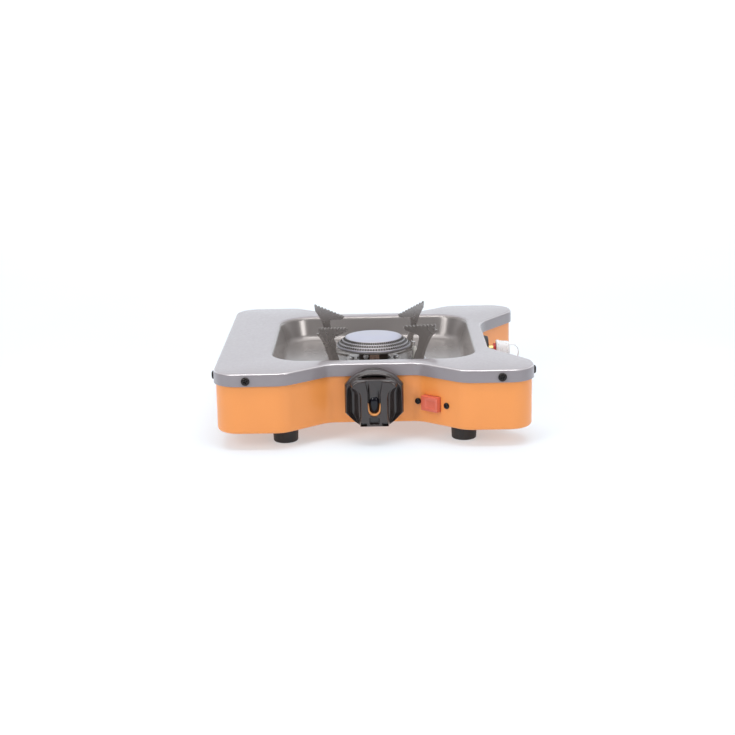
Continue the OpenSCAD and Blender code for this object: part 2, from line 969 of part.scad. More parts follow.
module igniter_body() {
    wall_back = 2.2;
    color([0.11, 0.11, 0.12])
        at_button()
            difference() {
                union() {
                    translate([-button_w / 2 - 3.4, -button_h / 2 - 3.4, -housing_back - 2])
                        cube([button_w + 6.8, button_h + 6.8, housing_back + 2 - wall_back]);
                    rod(7, -33, -housing_back - 1);
                }
                translate([-button_w / 2 - 2, -button_h / 2 - 2, -housing_back])
                    cube([button_w + 4, button_h + 4, housing_back]);
                rod(3 + running, -28, -housing_back + over);
            }
}

// A strip that lies along the inside of the wall behind the button.
module igniter_bracket() {
    color([0.70, 0.70, 0.72])
        difference() {
            intersection() {
                difference() {
                    outline(case_inset + sheet, button_z - 10.5, button_z + 10.5);
                    outline(case_inset + sheet + 1.2, button_z - 12, button_z + 12);
                }
                translate([36.5, -150, button_z - 10])
                    cube([38, 60, 20]);
            }
            at_button()
                cube([button_w + 4.2, button_h + 4.2, 8], center = true);
            at_igniter_screws()
                rod(1.3, -4, 1);
        }
}

module igniter_screws() {
    color([0.12, 0.11, 0.11])
        at_igniter_screws()
            pan_screw(3, 1.9, 1.3, 5);
}

// ---- spark electrode ----
module electrode_insulator() {
    color([0.93, 0.92, 0.88])
        translate([electrode_x, electrode_y, 0])
            difference() {
                union() {
                    rod(2.4, 44, 61);
                    translate([0, 0, 61])
                        cylinder(h = 3.5, r1 = 2.4, r2 = 1.6, $fn = 64);
                    rod(3.4, pan_floor + 1, pan_floor + 3.4);
                }
                rod(0.6, 43, 66);
            }
}

module electrode_pin() {
    color([0.65, 0.65, 0.66])
        translate([electrode_x, electrode_y, 0]) {
            rod(0.6, 44, 69);
            translate([0, 0, 69])
                sphere(r = 0.6, $fn = 32);
            translate([0, 0, 69])
                rotate([0, -90, 0])
                    rod(0.6, 0, 3);
        }
}

module electrode_clip() {
    color([0.60, 0.60, 0.61])
        translate([electrode_x, electrode_y, 0])
            difference() {
                union() {
                    rod(4.4, pan_floor, pan_floor + 1);
                    translate([0, -4, pan_floor])
                        cube([11.5, 8, 1]);
                }
                rod(2.4, pan_floor - over, pan_floor + 2);
                translate([8, 0, 0])
                    rod(1.2 + screw_gap, pan_floor - over, pan_floor + 2);
            }
}

module electrode_screw() {
    color([0.75, 0.75, 0.77])
        translate([electrode_x + 8, electrode_y, pan_floor + 1])
            pan_screw(2.3, 1.6, 1.2, 4);
}

// A tube swept along a smooth curve through the route's points.
function between(p, i, t) =
    let (a = p[max(i - 1, 0)], b = p[i], c = p[i + 1], d = p[min(i + 2, len(p) - 1)])
        0.5 * (2 * b + (c - a) * t + (2 * a - 5 * b + 4 * c - d) * t * t + (3 * b - a - 3 * c + d) * t * t * t);
function smooth(p, per) = concat(
    [for (i = [0:len(p) - 2]) for (k = [0:per - 1]) between(p, i, k / per)], [p[len(p) - 1]]
);
function along(p, i) =
    let (d = p[min(i + 1, len(p) - 1)] - p[max(i - 1, 0)]) d / norm(d);
function carried(p, i) =
    i == 0
        ? let (n = cross(along(p, 0), [0, 0, 1])) n / norm(n)
        : let (m = carried(p, i - 1), t = along(p, i), n = m - (m * t) * t) n / norm(n);
module swept_tube(route, r, sides) {
    normals = [for (i = [0:len(route) - 1]) carried(route, i)];
    points = [
        for (i = [0:len(route) - 1]) for (s = [0:sides - 1])
            let (n = normals[i], b = cross(along(route, i), n), a = s * 360 / sides)
                route[i] + r * (cos(a) * n + sin(a) * b)
    ];
    faces = concat([[for (s = [sides - 1:-1:0]) s]], [
        for (i = [0:len(route) - 2]) for (s = [0:sides - 1])
            let (p = i * sides + s, q = i * sides + (s + 1) % sides)
                [p, q, q + sides, p + sides]
    ], [[for (s = [0:sides - 1]) (len(route) - 1) * sides + s]]);
    polyhedron(points = points, faces = faces);
}

module electrode_lead() {
    color([0.15, 0.15, 0.15])
        swept_tube(smooth(lead_route, 5), 1.3, 8);
}

// ---- gas inlet and pipe ----
module inlet_fitting() {
    color([0.80, 0.64, 0.36])
        at_inlet()
            difference() {
                union() {
                    rod(7.5, -14.5, -4);
                    translate([0, 0, -5])
                        cylinder(h = 5 - sheet, r = 9, $fn = 6);
                    rod(6, -sheet - 0.5, collar_face);
                    rod(4.5, collar_face - over, 19);
                    for (z = [19, 22.6])
                        translate([0, 0, z])
                            cylinder(h = 3.6, r1 = 5, r2 = 4.1, $fn = 64);
                    translate([0, 0, port_x - notch_wall])
                        rotate([0, 90, 0])
                            rod(5, 0, 14);
                }
                rod(2.5, -11, 30);
                translate([0, 0, port_x - notch_wall])
                    rotate([0, 90, 0])
                        rod(2, 0, 15);
            }
}

// The collar's back follows the wall, which starts to bend at its far side.
module inlet_bezel() {
    color([0.10, 0.10, 0.11])
        difference() {
            at_inlet()
                difference() {
                    rotate_extrude($fn = 96)
                        polygon([
                            [6, 0], [14.5, 0], [14.5, collar_face - 3], [14, collar_face - 0.8],
                            [13, collar_face], [6, collar_face]
                        ]);
                    // Two notches for a spanner.
                    for (x = [-15, 11.6])
                        translate([x, -2, collar_face - 1.6])
                            cube([3.4, 4, 3]);
                }
            outline(case_inset, foot_h, plate_under);
        }
}

module inlet_seal() {
    color([0.80, 0.12, 0.10])
        at_inlet()
            ring(6.4, 4.5, cap_from - 2.6, cap_from - 0.2);
}

// Points round the dust cap's drooping pull loop, in the plane of local X and Z.
function loop_points(grow) = [
    for (a = [0:7.5:352.5]) [3.4 + (8.4 + grow) * cos(a), cap_from + 17.1 + (6.7 + grow) * sin(a)]
];

module dust_cap() {
    r = cap_d / 2;
    color([0.93, 0.93, 0.93])
        at_inlet()
            difference() {
                union() {
                    rotate_extrude($fn = 96)
                        polygon([
                            [0, cap_from], [r, cap_from], [r, cap_from + 3], [r - 0.8, cap_from + 3.6],
                            [r - 1.6, cap_to - 2], [r - 3, cap_to], [0, cap_to]
                        ]);
                    translate([0, loop_w / 2, 0])
                        rotate([90, 0, 0])
                            linear_extrude(height = loop_w)
                                difference() {
                                    polygon(loop_points(0.7));
                                    polygon(loop_points(-0.7));
                                }
                }
                rod(5.3, cap_from - over, cap_to - 3);
            }
}

// A pipe with square bends: straight runs joined by quarter turns.
module gas_pipe() {
    x_in = port_x;
    x_out = 14;
    drop_x = 38;
    b = pipe_bend;
    y_front = valve_port_y;
    z_top = inlet_z - 11;
    color([0.80, 0.58, 0.36]) {
        translate([x_out, y_front, knob_z])
            rotate([0, 90, 0])
                rod(pipe_r, 2, drop_x - b - x_out);
        // Turns down beside the tap.
        translate([drop_x - b, y_front, knob_z - b])
            rotate([90, 0, 0])
                quarter(b);
        translate([drop_x, y_front, 0])
            rod(pipe_r, pipe_low + b, knob_z - b);
        translate([drop_x + b, y_front, pipe_low + b])
            rotate([90, 0, 0])
                rotate([0, 0, 180])
                    quarter(b);
        translate([drop_x + b, y_front, pipe_low])
            rotate([0, 90, 0])
                rod(pipe_r, 0, x_in - b - drop_x - b);
        translate([x_in - b, y_front + b, pipe_low])
            rotate([0, 0, -90])
                quarter(b);
        translate([x_in, y_front + b, pipe_low])
            rotate([-90, 0, 0])
                rod(pipe_r, 0, inlet_y - b - y_front - b);
        translate([x_in, inlet_y - b, pipe_low + b])
            rotate([0, 90, 0])
                quarter(b);
        translate([x_in, inlet_y, 0])
            rod(pipe_r, pipe_low + b, inlet_z - 14);
    }
}

// A quarter of a bent pipe about local Z, from +X to +Y.
module quarter(b) {
    rotate_extrude(angle = 90, $fn = 96)
        translate([b, 0])
            circle(r = pipe_r, $fn = 48);
}

module pipe_nuts() {
    color([0.82, 0.66, 0.38]) {
        translate([0, valve_port_y, knob_z])
            rotate([0, 90, 0])
                difference() {
                    hex_nut(12, pipe_r, 11, 21);
                    rod(5, 10, 16);
                }
        translate([port_x, inlet_y, 0])
            difference() {
                hex_nut(12, pipe_r, pipe_low + pipe_bend, inlet_z - 9);
                rod(5, inlet_z - 14, inlet_z - 5);
            }
    }
}

case();
top_plate();
plate_screws();
foot_front_left();
foot_front_right();
foot_back_left();
foot_back_right();
foot_screws();
foot_nuts();
knob_bezel();
knob();
knob_inlay();
knob_dome();
valve_spindle();
valve_body();
valve_gland_nut();
valve_seal();
valve_bracket();
valve_screws();
gas_jet();
mixer_tube();
mixer_screws();
burner_neck();
burner_tab();
burner_screw();
burner_cup();
burner_cap();
support_base();
support_screws();
support_nuts();
support_arm_front_left();
support_arm_front_right();
support_arm_back_left();
support_arm_back_right();
igniter_button();
igniter_plunger();
igniter_spring();
igniter_body();
igniter_bracket();
igniter_screws();
electrode_insulator();
electrode_pin();
electrode_clip();
electrode_screw();
electrode_lead();
inlet_fitting();
inlet_bezel();
inlet_seal();
dust_cap();
gas_pipe();
pipe_nuts();
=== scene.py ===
"""Looks of the camping stove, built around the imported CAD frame.

Shapes are worked out in millimetres in the row's own frame (origin on the ground below the middle of
the top plate, X right, Y back, Z up) and turned into metres when a piece's mesh is made.
"""
import json
import math

import bmesh
import bpy
from mathutils import Matrix, Vector


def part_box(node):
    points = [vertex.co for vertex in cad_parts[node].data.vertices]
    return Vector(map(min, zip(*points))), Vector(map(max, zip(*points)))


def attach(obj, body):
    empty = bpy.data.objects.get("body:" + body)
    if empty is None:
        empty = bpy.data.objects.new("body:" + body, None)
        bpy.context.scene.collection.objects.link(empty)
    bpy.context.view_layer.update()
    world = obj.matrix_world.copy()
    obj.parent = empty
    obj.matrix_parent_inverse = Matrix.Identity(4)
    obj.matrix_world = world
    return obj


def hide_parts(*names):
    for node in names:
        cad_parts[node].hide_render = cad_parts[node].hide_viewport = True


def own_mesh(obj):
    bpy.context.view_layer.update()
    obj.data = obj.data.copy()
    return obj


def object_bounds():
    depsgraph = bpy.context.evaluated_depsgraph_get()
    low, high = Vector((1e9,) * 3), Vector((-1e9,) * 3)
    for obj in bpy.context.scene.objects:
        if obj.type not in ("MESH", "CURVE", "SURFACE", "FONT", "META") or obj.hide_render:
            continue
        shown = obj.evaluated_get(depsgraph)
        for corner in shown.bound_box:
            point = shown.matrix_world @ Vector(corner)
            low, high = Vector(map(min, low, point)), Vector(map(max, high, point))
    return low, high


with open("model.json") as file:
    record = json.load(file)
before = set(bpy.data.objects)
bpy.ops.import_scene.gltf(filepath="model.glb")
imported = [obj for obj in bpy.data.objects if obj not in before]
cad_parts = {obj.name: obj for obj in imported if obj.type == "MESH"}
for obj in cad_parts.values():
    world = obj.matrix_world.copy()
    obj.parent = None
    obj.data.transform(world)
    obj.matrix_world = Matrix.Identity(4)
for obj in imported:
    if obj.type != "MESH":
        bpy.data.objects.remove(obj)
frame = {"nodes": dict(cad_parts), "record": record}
CAD_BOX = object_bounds()
MM = 0.001


def box_mm(node):
    """A CAD node's lowest and highest corner, in millimetres."""
    low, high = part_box(node)
    return low / MM, high / MM


# ---------------------------------------------------------------- sizes
PLATE_HIGH = box_mm("top_plate")[1]
HALF_W = PLATE_HIGH.x
HALF_D = PLATE_HIGH.y
PLATE_Z = PLATE_HIGH.z
SHEET = 1.0
SKIRT_H = 12.0
CASE_INSET = 2.0
RECESS_D = 33.5
NOTCH_D = 38.0
RECESS_X = 42.0
SHOULDER_X = 83.0
NOTCH_FLOOR = 55.0
NOTCH_MOUTH = 110.0
NOTCH_BACK_FLOOR = 58.5
NOTCH_BACK_MOUTH = 113.0
CASE_BOTTOM = box_mm("case")[0].z
PAN_HALF = 98.5
PAN_R = 34.0
PAN_DEPTH = 24.0
PAN_LEAN = 7.0
BURNER_LOW, BURNER_HIGH = box_mm("burner_cap")
BURNER_Y = (BURNER_LOW.y + BURNER_HIGH.y) / 2
PAN_FLOOR = PLATE_Z - PAN_DEPTH
FRONT_WALL = RECESS_D + CASE_INSET - HALF_D
KNOB_LOW, KNOB_HIGH = box_mm("knob")
KNOB_Z = (KNOB_LOW.z + KNOB_HIGH.z) / 2

# Corners of the outline, anticlockwise from the front left: x, y, fillet radius.
CORNERS = [
    (-HALF_W, -HALF_D, 24), (-SHOULDER_X, -HALF_D, 27),
    (-RECESS_X, RECESS_D - HALF_D, 18), (RECESS_X, RECESS_D - HALF_D, 18),
    (SHOULDER_X, -HALF_D, 27), (HALF_W, -HALF_D, 24),
    (HALF_W, -NOTCH_MOUTH, 24), (HALF_W - NOTCH_D, -NOTCH_FLOOR, 22),
    (HALF_W - NOTCH_D, NOTCH_BACK_FLOOR, 45), (HALF_W, NOTCH_BACK_MOUTH, 24),
    (HALF_W, HALF_D, 24), (SHOULDER_X, HALF_D, 27),
    (RECESS_X, HALF_D - RECESS_D, 18), (-RECESS_X, HALF_D - RECESS_D, 18),
    (-SHOULDER_X, HALF_D, 27), (-HALF_W, HALF_D, 24),
]
RECESS_CORNER = 3
ARC_STEPS = 10

# ---------------------------------------------------------------- camera
CAMERA_AT = Vector((4.66, -1484.75, 413.13)) * MM
CAMERA_PITCH = 14.0126
CAMERA_YAW = 0.4374
CAMERA_ROLL = 1.1173
LENS = 73.47
SENSOR = 36.0


def make_camera():
    data = bpy.data.cameras.new("camera")
    data.lens = LENS
    data.sensor_width = SENSOR
    data.clip_end = 50
    camera = bpy.data.objects.new("camera", data)
    turn = (
        Matrix.Rotation(math.radians(CAMERA_YAW), 4, "Z")
        @ Matrix.Rotation(math.radians(90 - CAMERA_PITCH), 4, "X")
        @ Matrix.Rotation(math.radians(-CAMERA_ROLL), 4, "Z")
    )
    camera.matrix_world = Matrix.Translation(CAMERA_AT) @ turn
    bpy.context.scene.collection.objects.link(camera)
    bpy.context.scene.camera = camera


# ---------------------------------------------------------------- materials
def node_graph(name):
    material = bpy.data.materials.new(name)
    material.use_nodes = True
    tree = material.node_tree
    shader = tree.nodes["Principled BSDF"]
    return material, tree, shader


def set_inputs(node, values):
    for key, value in values.items():
        node.inputs[key].default_value = value


def add_node(tree, kind, **inputs):
    node = tree.nodes.new(kind)
    set_inputs(node, inputs)
    return node


def shade_of(colour, factor):
    return tuple(min(1.0, c * factor) for c in colour) + (1.0,)


def object_coords(tree, stretch=(1, 1, 1)):
    coords = tree.nodes.new("ShaderNodeTexCoord")
    mapping = tree.nodes.new("ShaderNodeMapping")
    mapping.inputs["Scale"].default_value = stretch
    tree.links.new(coords.outputs["Object"], mapping.inputs["Vector"])
    return mapping.outputs["Vector"]


def noise(tree, vector, scale, detail=3.0, roughness=0.55):
    texture = add_node(
        tree, "ShaderNodeTexNoise", Scale=scale, Detail=detail, Roughness=roughness
    )
    tree.links.new(vector, texture.inputs["Vector"])
    return texture.outputs["Fac"]


def ranged(tree, value, low, high, start=0.3, end=0.7, curve="LINEAR"):
    """A value taken from start...end to low...high."""
    node = tree.nodes.new("ShaderNodeMapRange")
    node.interpolation_type = curve
    set_inputs(node, {"From Min": start, "From Max": end, "To Min": low, "To Max": high})
    tree.links.new(value, node.inputs["Value"])
    return node.outputs["Result"]


def vector_step(tree, operation, vector, by=(0, 0, 0)):
    node = tree.nodes.new("ShaderNodeVectorMath")
    node.operation = operation
    tree.links.new(vector, node.inputs[0])
    node.inputs[1].default_value = by
    return node


def mixed(tree, factor, colour_a, colour_b):
    """A colour between two, each a colour or another node's output."""
    node = tree.nodes.new("ShaderNodeMix")
    node.data_type = "RGBA"
    tree.links.new(factor, node.inputs[0])
    for socket, colour in ((node.inputs[6], colour_a), (node.inputs[7], colour_b)):
        if isinstance(colour, bpy.types.NodeSocket):
            tree.links.new(colour, socket)
        else:
            socket.default_value = colour
    return node.outputs[2]


def bumped(tree, shader, height, strength, distance):
    bump = add_node(tree, "ShaderNodeBump", Strength=strength, Distance=distance)
    tree.links.new(height, bump.inputs["Height"])
    tree.links.new(bump.outputs["Normal"], shader.inputs["Normal"])
    return bump


def surface(
    name, colour, rough, metallic=0.0, mottle=0.06, mottle_scale=22, spread=0.05,
    grain_scale=900, bump=0.15, depth=0.00004, coat=0.0, coat_rough=0.1, stretch=(1, 1, 1),
    specular=0.5,
):
    """A finish with slow colour mottling, uneven gloss and a fine grain."""
    material, tree, shader = node_graph(name)
    slow = ranged(tree, noise(tree, object_coords(tree), mottle_scale), 0, 1)
    fine = noise(tree, object_coords(tree, stretch), grain_scale, detail=4)
    tint = mixed(tree, slow, shade_of(colour, 1 - mottle), shade_of(colour, 1 + mottle))
    tree.links.new(tint, shader.inputs["Base Color"])
    tree.links.new(ranged(tree, fine, rough - spread, rough + spread), shader.inputs["Roughness"])
    set_inputs(shader, {"Metallic": metallic, "Coat Weight": coat, "Coat Roughness": coat_rough,
                        "Specular IOR Level": specular})
    bumped(tree, shader, fine, bump, depth)
    return material


def brushed(name, colour, rough, along=(1, 60, 60), mottle=0.10, grain_scale=40, bump=0.2):
    """Sheet metal with fine scratches along one direction."""
    return surface(
        name, colour, rough, metallic=1.0, mottle=mottle, mottle_scale=35, spread=0.09,
        grain_scale=grain_scale, bump=bump, depth=0.00002, stretch=along,
    )


def powder_coat(name, colour, rough, peel, coat=0.25):
    """Paint with an orange-peel skin and a faint speckle of its own pigment."""
    material, tree, shader = node_graph(name)
    where = object_coords(tree)
    slow = ranged(tree, noise(tree, where, 9, detail=2), 0, 1)
    base = mixed(tree, slow, shade_of(colour, 0.97), shade_of(colour, 1.03))
    speckle = ranged(tree, noise(tree, where, 1600, detail=2), 0, 0.15)
    tint = mixed(tree, speckle, base, shade_of(colour, 0.88))
    tree.links.new(tint, shader.inputs["Base Color"])
    skin = noise(tree, where, 420, detail=2, roughness=0.4)
    tree.links.new(ranged(tree, skin, rough - 0.04, rough + 0.04), shader.inputs["Roughness"])
    set_inputs(shader, {"Coat Weight": coat, "Coat Roughness": 0.10})
    bumped(tree, shader, skin, peel, 0.00006)
    return material


def turned_steel(name, colour, rough, centre):
    """Spun metal: fine rings round an upright axis, with a faint heat tint."""
    material, tree, shader = node_graph(name)
    coords = tree.nodes.new("ShaderNodeTexCoord")
    shift = vector_step(tree, "SUBTRACT", coords.outputs["Object"], centre)
    flat = vector_step(tree, "MULTIPLY", shift.outputs[0], (1, 1, 0))
    radius = vector_step(tree, "LENGTH", flat.outputs[0])
    rings = tree.nodes.new("ShaderNodeTexNoise")
    rings.noise_dimensions = "1D"
    set_inputs(rings, {"Scale": 2600, "Detail": 3})
    tree.links.new(radius.outputs["Value"], rings.inputs["W"])
    slow = ranged(tree, noise(tree, coords.outputs["Object"], 30), 0, 1)
    warm = (colour[0], colour[1] * 0.985, colour[2] * 0.955, 1)
    cool = (colour[0] * 0.96, colour[1] * 0.965, colour[2] * 1.04, 1)
    tree.links.new(mixed(tree, slow, warm, cool), shader.inputs["Base Color"])
    tree.links.new(ranged(tree, rings.outputs["Fac"], rough - 0.06, rough + 0.06),
                   shader.inputs["Roughness"])
    shader.inputs["Metallic"].default_value = 1.0
    bumped(tree, shader, rings.outputs["Fac"], 0.12, 0.00002)
    return material


def milky_plastic(name, colour):
    """Thin translucent polyethylene: milky, waxy and slightly uneven."""
    material, tree, shader = node_graph(name)
    where = object_coords(tree)
    slow = ranged(tree, noise(tree, where, 25), 0, 1)
    tree.links.new(mixed(tree, slow, shade_of(colour, 0.97), shade_of(colour, 1.0)),
                   shader.inputs["Base Color"])
    tree.links.new(ranged(tree, noise(tree, where, 200), 0.26, 0.32), shader.inputs["Roughness"])
    set_inputs(shader, {"Transmission Weight": 0.25, "IOR": 1.3, "Subsurface Weight": 0.3,
                        "Subsurface Radius": (0.004, 0.004, 0.004)})
    bumped(tree, shader, noise(tree, where, 300), 0.04, 0.00002)
    return material


def make_materials():
    return {
        "case_paint": powder_coat("case_paint", (0.90, 0.315, 0.07), 0.40, 0.16),
        "plate_paint": powder_coat("plate_paint", (0.265, 0.235, 0.247), 0.38, 0.03, coat=0.6),
        # Painted highlight: a lighter colour for the plate's rounded top edge, standing in for the bright
        # line that the overhead light draws along it.
        "plate_edge_painted_highlight": surface(
            "plate_edge_painted_highlight", (0.60, 0.575, 0.585), 0.22, metallic=0.5, mottle=0.04, mottle_scale=8,
            spread=0.02, grain_scale=60, bump=0.0),
        "pan_gloss": surface(
            "pan_gloss", (0.30, 0.277, 0.266), 0.25, metallic=0.45, mottle=0.04, mottle_scale=8,
            spread=0.01, grain_scale=60, bump=0.0),
        # Painted shade: a darker copy of the cap's steel for its sloping side.
        "cap_side_painted_shade": surface(
            "cap_side_painted_shade", (0.26, 0.245, 0.24), 0.42, metallic=0.9, mottle=0.15, mottle_scale=120,
            grain_scale=60, bump=0.0),
        # Painted shade: near-black for the burner cap's port walls and inside.
        "port_painted_shade": surface("port_painted_shade", (0.02, 0.016, 0.014), 0.7, mottle=0.3, mottle_scale=200),
        "black_screw": surface(
            "black_screw", (0.022, 0.018, 0.017), 0.24, metallic=0.6, mottle=0.25,
            mottle_scale=160, bump=0.1),
        "zinc_steel": brushed("zinc_steel", (0.55, 0.56, 0.58), 0.34, along=(40, 40, 40)),
        "foot_rubber": surface(
            "foot_rubber", (0.022, 0.021, 0.021), 0.55, mottle=0.2, mottle_scale=90,
            grain_scale=1300, bump=0.35, depth=0.00006),
        "knob_plastic": surface(
            "knob_plastic", (0.032, 0.022, 0.020), 0.20, mottle=0.12, spread=0.04,
            grain_scale=1500, bump=0.06, coat=0.35, coat_rough=0.12),
        "bezel_plastic": surface(
            "bezel_plastic", (0.028, 0.024, 0.023), 0.26, mottle=0.12, spread=0.04,
            grain_scale=1500, bump=0.06, coat=0.25),
        "inlay_plastic": surface(
            "inlay_plastic", (0.95, 0.40, 0.13), 0.35, mottle=0.05, grain_scale=1200, bump=0.08),
        "dome_plastic": surface(
            "dome_plastic", (0.006, 0.006, 0.010), 0.10, mottle=0.1, spread=0.02, bump=0.03,
            specular=0.35),
        "valve_brass": brushed("valve_brass", (0.62, 0.38, 0.17), 0.32, along=(30, 30, 30)),
        "spindle_steel": brushed("spindle_steel", (0.60, 0.60, 0.61), 0.25, along=(8, 60, 8)),
        "seal_rubber": surface("seal_rubber", (0.02, 0.02, 0.02), 0.5, mottle=0.15),
        "mixer_steel": brushed("mixer_steel", (0.46, 0.46, 0.47), 0.36, along=(60, 4, 60)),
        "neck_iron": surface(
            "neck_iron", (0.075, 0.055, 0.045), 0.48, metallic=0.7, mottle=0.35,
            mottle_scale=120, grain_scale=700, bump=0.4, depth=0.0001),
        "tab_copper": brushed("tab_copper", (0.46, 0.33, 0.27), 0.38, along=(60, 60, 6), mottle=0.15),
        "bright_screw": surface(
            "bright_screw", (0.86, 0.86, 0.88), 0.26, metallic=0.6, mottle=0.06,
            mottle_scale=200, bump=0.08),
        "cup_steel": surface(
            "cup_steel", (0.30, 0.29, 0.29), 0.34, metallic=1.0, mottle=0.10, mottle_scale=40,
            spread=0.02, grain_scale=60, bump=0.0),
        "cap_steel": turned_steel(
            "cap_steel", (0.50, 0.49, 0.55), 0.36, (0, BURNER_Y * MM, 0)),
        "support_steel": surface(
            "support_steel", (0.37, 0.345, 0.33), 0.27, metallic=0.85, mottle=0.05, mottle_scale=20,
            spread=0.015, grain_scale=60, bump=0.0),
        "button_plastic": surface(
            "button_plastic", (0.72, 0.145, 0.085), 0.36, mottle=0.05, grain_scale=1300, bump=0.12,
            coat=0.15),
        "igniter_plastic": surface("igniter_plastic", (0.02, 0.02, 0.022), 0.5, mottle=0.15),
        "spring_steel": brushed("spring_steel", (0.52, 0.52, 0.53), 0.3, along=(20, 20, 20)),
        "ceramic": surface(
            "ceramic", (0.60, 0.58, 0.54), 0.20, mottle=0.04, mottle_scale=200, bump=0.05,
            coat=0.5, coat_rough=0.06),
        "lead_rubber": surface("lead_rubber", (0.03, 0.03, 0.03), 0.55, mottle=0.15),
        "inlet_brass": brushed("inlet_brass", (0.68, 0.48, 0.21), 0.30, along=(6, 40, 40)),
        "inlet_plastic": surface(
            "inlet_plastic", (0.018, 0.018, 0.019), 0.42, mottle=0.15, grain_scale=1200, bump=0.2),
        "seal_red": surface("seal_red", (0.55, 0.035, 0.03), 0.55, mottle=0.12, grain_scale=1500),
        "cap_plastic": milky_plastic("cap_plastic", (0.88, 0.88, 0.89)),
        "pipe_copper": brushed("pipe_copper", (0.62, 0.33, 0.17), 0.33, along=(20, 20, 20)),
    }


MATERIALS = {}


# ---------------------------------------------------------------- outlines and frames
UP = (0, 0, 1)
FRONT = (0, -1, 0)
ON_BURNER = Matrix.Translation((0, BURNER_Y, 0))


def circle(r, steps):
    """Even points round a circle, from the X axis on."""
    return [(r * math.cos(2 * math.pi * k / steps), r * math.sin(2 * math.pi * k / steps))
            for k in range(steps)]


def quarter(steps, first=0):
    """The cosine and sine at even steps through a quarter turn."""
    angles = [math.pi / 2 * k / steps for k in range(first, steps + 1)]
    return [(math.cos(a), math.sin(a)) for a in angles]


def rectangle(x0, y0, x1, y1, z):
    return [(x0, y0, z), (x1, y0, z), (x1, y1, z), (x0, y1, z)]


def basis(at, x, y, z):
    """The matrix of a frame with the given origin and axes."""
    columns = Matrix((Vector(x), Vector(y), Vector(z))).transposed().to_4x4()
    return Matrix.Translation(Vector(at)) @ columns


def facing(at, out):
    """The frame of a point on an upright wall: X along the wall, Y up and Z out of it."""
    return basis(at, Vector(UP).cross(Vector(out)), UP, out)


def both_sides(half):
    """A closed outline from its right-hand half, listed from the bottom up."""
    return half + [(-x, y) for x, y in reversed(half)]


def eased(points, x):
    """A value read off a list of (place, value) pairs, straight between them."""
    for (a, u), (b, v) in zip(points, points[1:]):
        if x <= b:
            return u + (v - u) * max(0.0, (x - a) / (b - a))
    return points[-1][1]


def curve_through(points, per=4):
    """A smooth line through the points (Catmull-Rom)."""
    line = []
    last = len(points) - 1
    for i in range(last):
        a, b = Vector(points[max(i - 1, 0)]), Vector(points[i])
        c, d = Vector(points[i + 1]), Vector(points[min(i + 2, last)])
        for k in range(per):
            t = k / per
            line.append(tuple(0.5 * (2 * b + (c - a) * t + (2 * a - 5 * b + 4 * c - d) * t * t
                                     + (3 * b - a - 3 * c + d) * t ** 3)))
    line.append(tuple(points[last]))
    return line


# ---------------------------------------------------------------- mesh tools
class Shape:
    """Points in millimetres and faces, put together from parts."""

    def __init__(self):
        self.points = []
        self.faces = []
        # The numbers of the faces that get a second finish: on the burner cap, painted shade (dark for the
        # port walls and inside, band for the darker sloping side).
        self.dark = []
        self.band = []

    def add(self, points, faces):
        start = len(self.points)
        self.points += [tuple(p) for p in points]
        self.faces += [tuple(start + i for i in f) for f in faces]
        return self

    def skin(self, rings, first=False, last=False):
        """A surface through rings of equal length; first and last close its ends with a face."""
        count = len(rings[0])
        points = [p for ring in rings for p in ring]
        faces = []
        for r in range(len(rings) - 1):
            for k in range(count):
                a, b = r * count + k, r * count + (k + 1) % count
                faces.append((a, b, b + count, a + count))
        if first:
            faces.append(tuple(range(count - 1, -1, -1)))
        if last:
            faces.append(tuple((len(rings) - 1) * count + k for k in range(count)))
        return self.add(points, faces)

    def lathe(self, profile, steps=96, closed=False):
        """A profile of (radius, height) turned about Z. A radius of 0 makes a pole."""
        rings = [[(x, y, z) for x, y in circle(r, steps)] for r, z in profile]
        if closed:
            rings.append(rings[0])
        return self.skin(rings)

    def extrude(self, outline, low, high):
        """A flat outline drawn out from low to high."""
        return self.skin([[(x, y, low) for x, y in outline], [(x, y, high) for x, y in outline]],
                         first=True, last=True)

    def block(self, low, high):
        (x0, y0, z0), (x1, y1, z1) = low, high
        return self.extrude([(x0, y0), (x1, y0), (x1, y1), (x0, y1)], z0, z1)

    def placed(self, matrix):
        self.points = [tuple(matrix @ Vector(p)) for p in self.points]
        return self

    def middle(self, i):
        """The middle of a face: the mean of its corners."""
        corners = [self.points[j] for j in self.faces[i]]
        return [sum(p[axis] for p in corners) / len(corners) for axis in range(3)]

    def join(self, other):
        return self.add(other.points, other.faces)


def raw_object(name, shape):
    """An object in metres from a shape in millimetres, its doubles welded and its faces turned out."""
    mesh = bpy.data.meshes.new(name)
    mesh.from_pydata([tuple(c * MM for c in p) for p in shape.points], [], shape.faces)
    work = bmesh.new()
    work.from_mesh(mesh)
    bmesh.ops.remove_doubles(work, verts=work.verts, dist=1e-7)
    bmesh.ops.dissolve_degenerate(work, edges=work.edges, dist=1e-7)
    bmesh.ops.recalc_face_normals(work, faces=work.faces)
    work.to_mesh(mesh)
    work.free()
    obj = bpy.data.objects.new(name, mesh)
    bpy.context.scene.collection.objects.link(obj)
    return obj


def placed_mesh(obj, place):
    """Moves a mesh made in a local frame to its place, measured in millimetres."""
    scale = Matrix.Diagonal((MM, MM, MM, 1))
    obj.data.transform(scale @ place @ scale.inverted())
    return obj


def apply_modifiers(obj):
    graph = bpy.context.evaluated_depsgraph_get()
    graph.update()
    mesh = bpy.data.meshes.new_from_object(obj.evaluated_get(graph))
    obj.modifiers.clear()
    obj.data = mesh
    return obj


def thickened(obj, thickness):
    """Gives a surface its sheet thickness, inwards."""
    solid = obj.modifiers.new("solid", "SOLIDIFY")
    solid.thickness = thickness * MM
    solid.offset = -1
    solid.use_even_offset = True
    return apply_modifiers(obj)


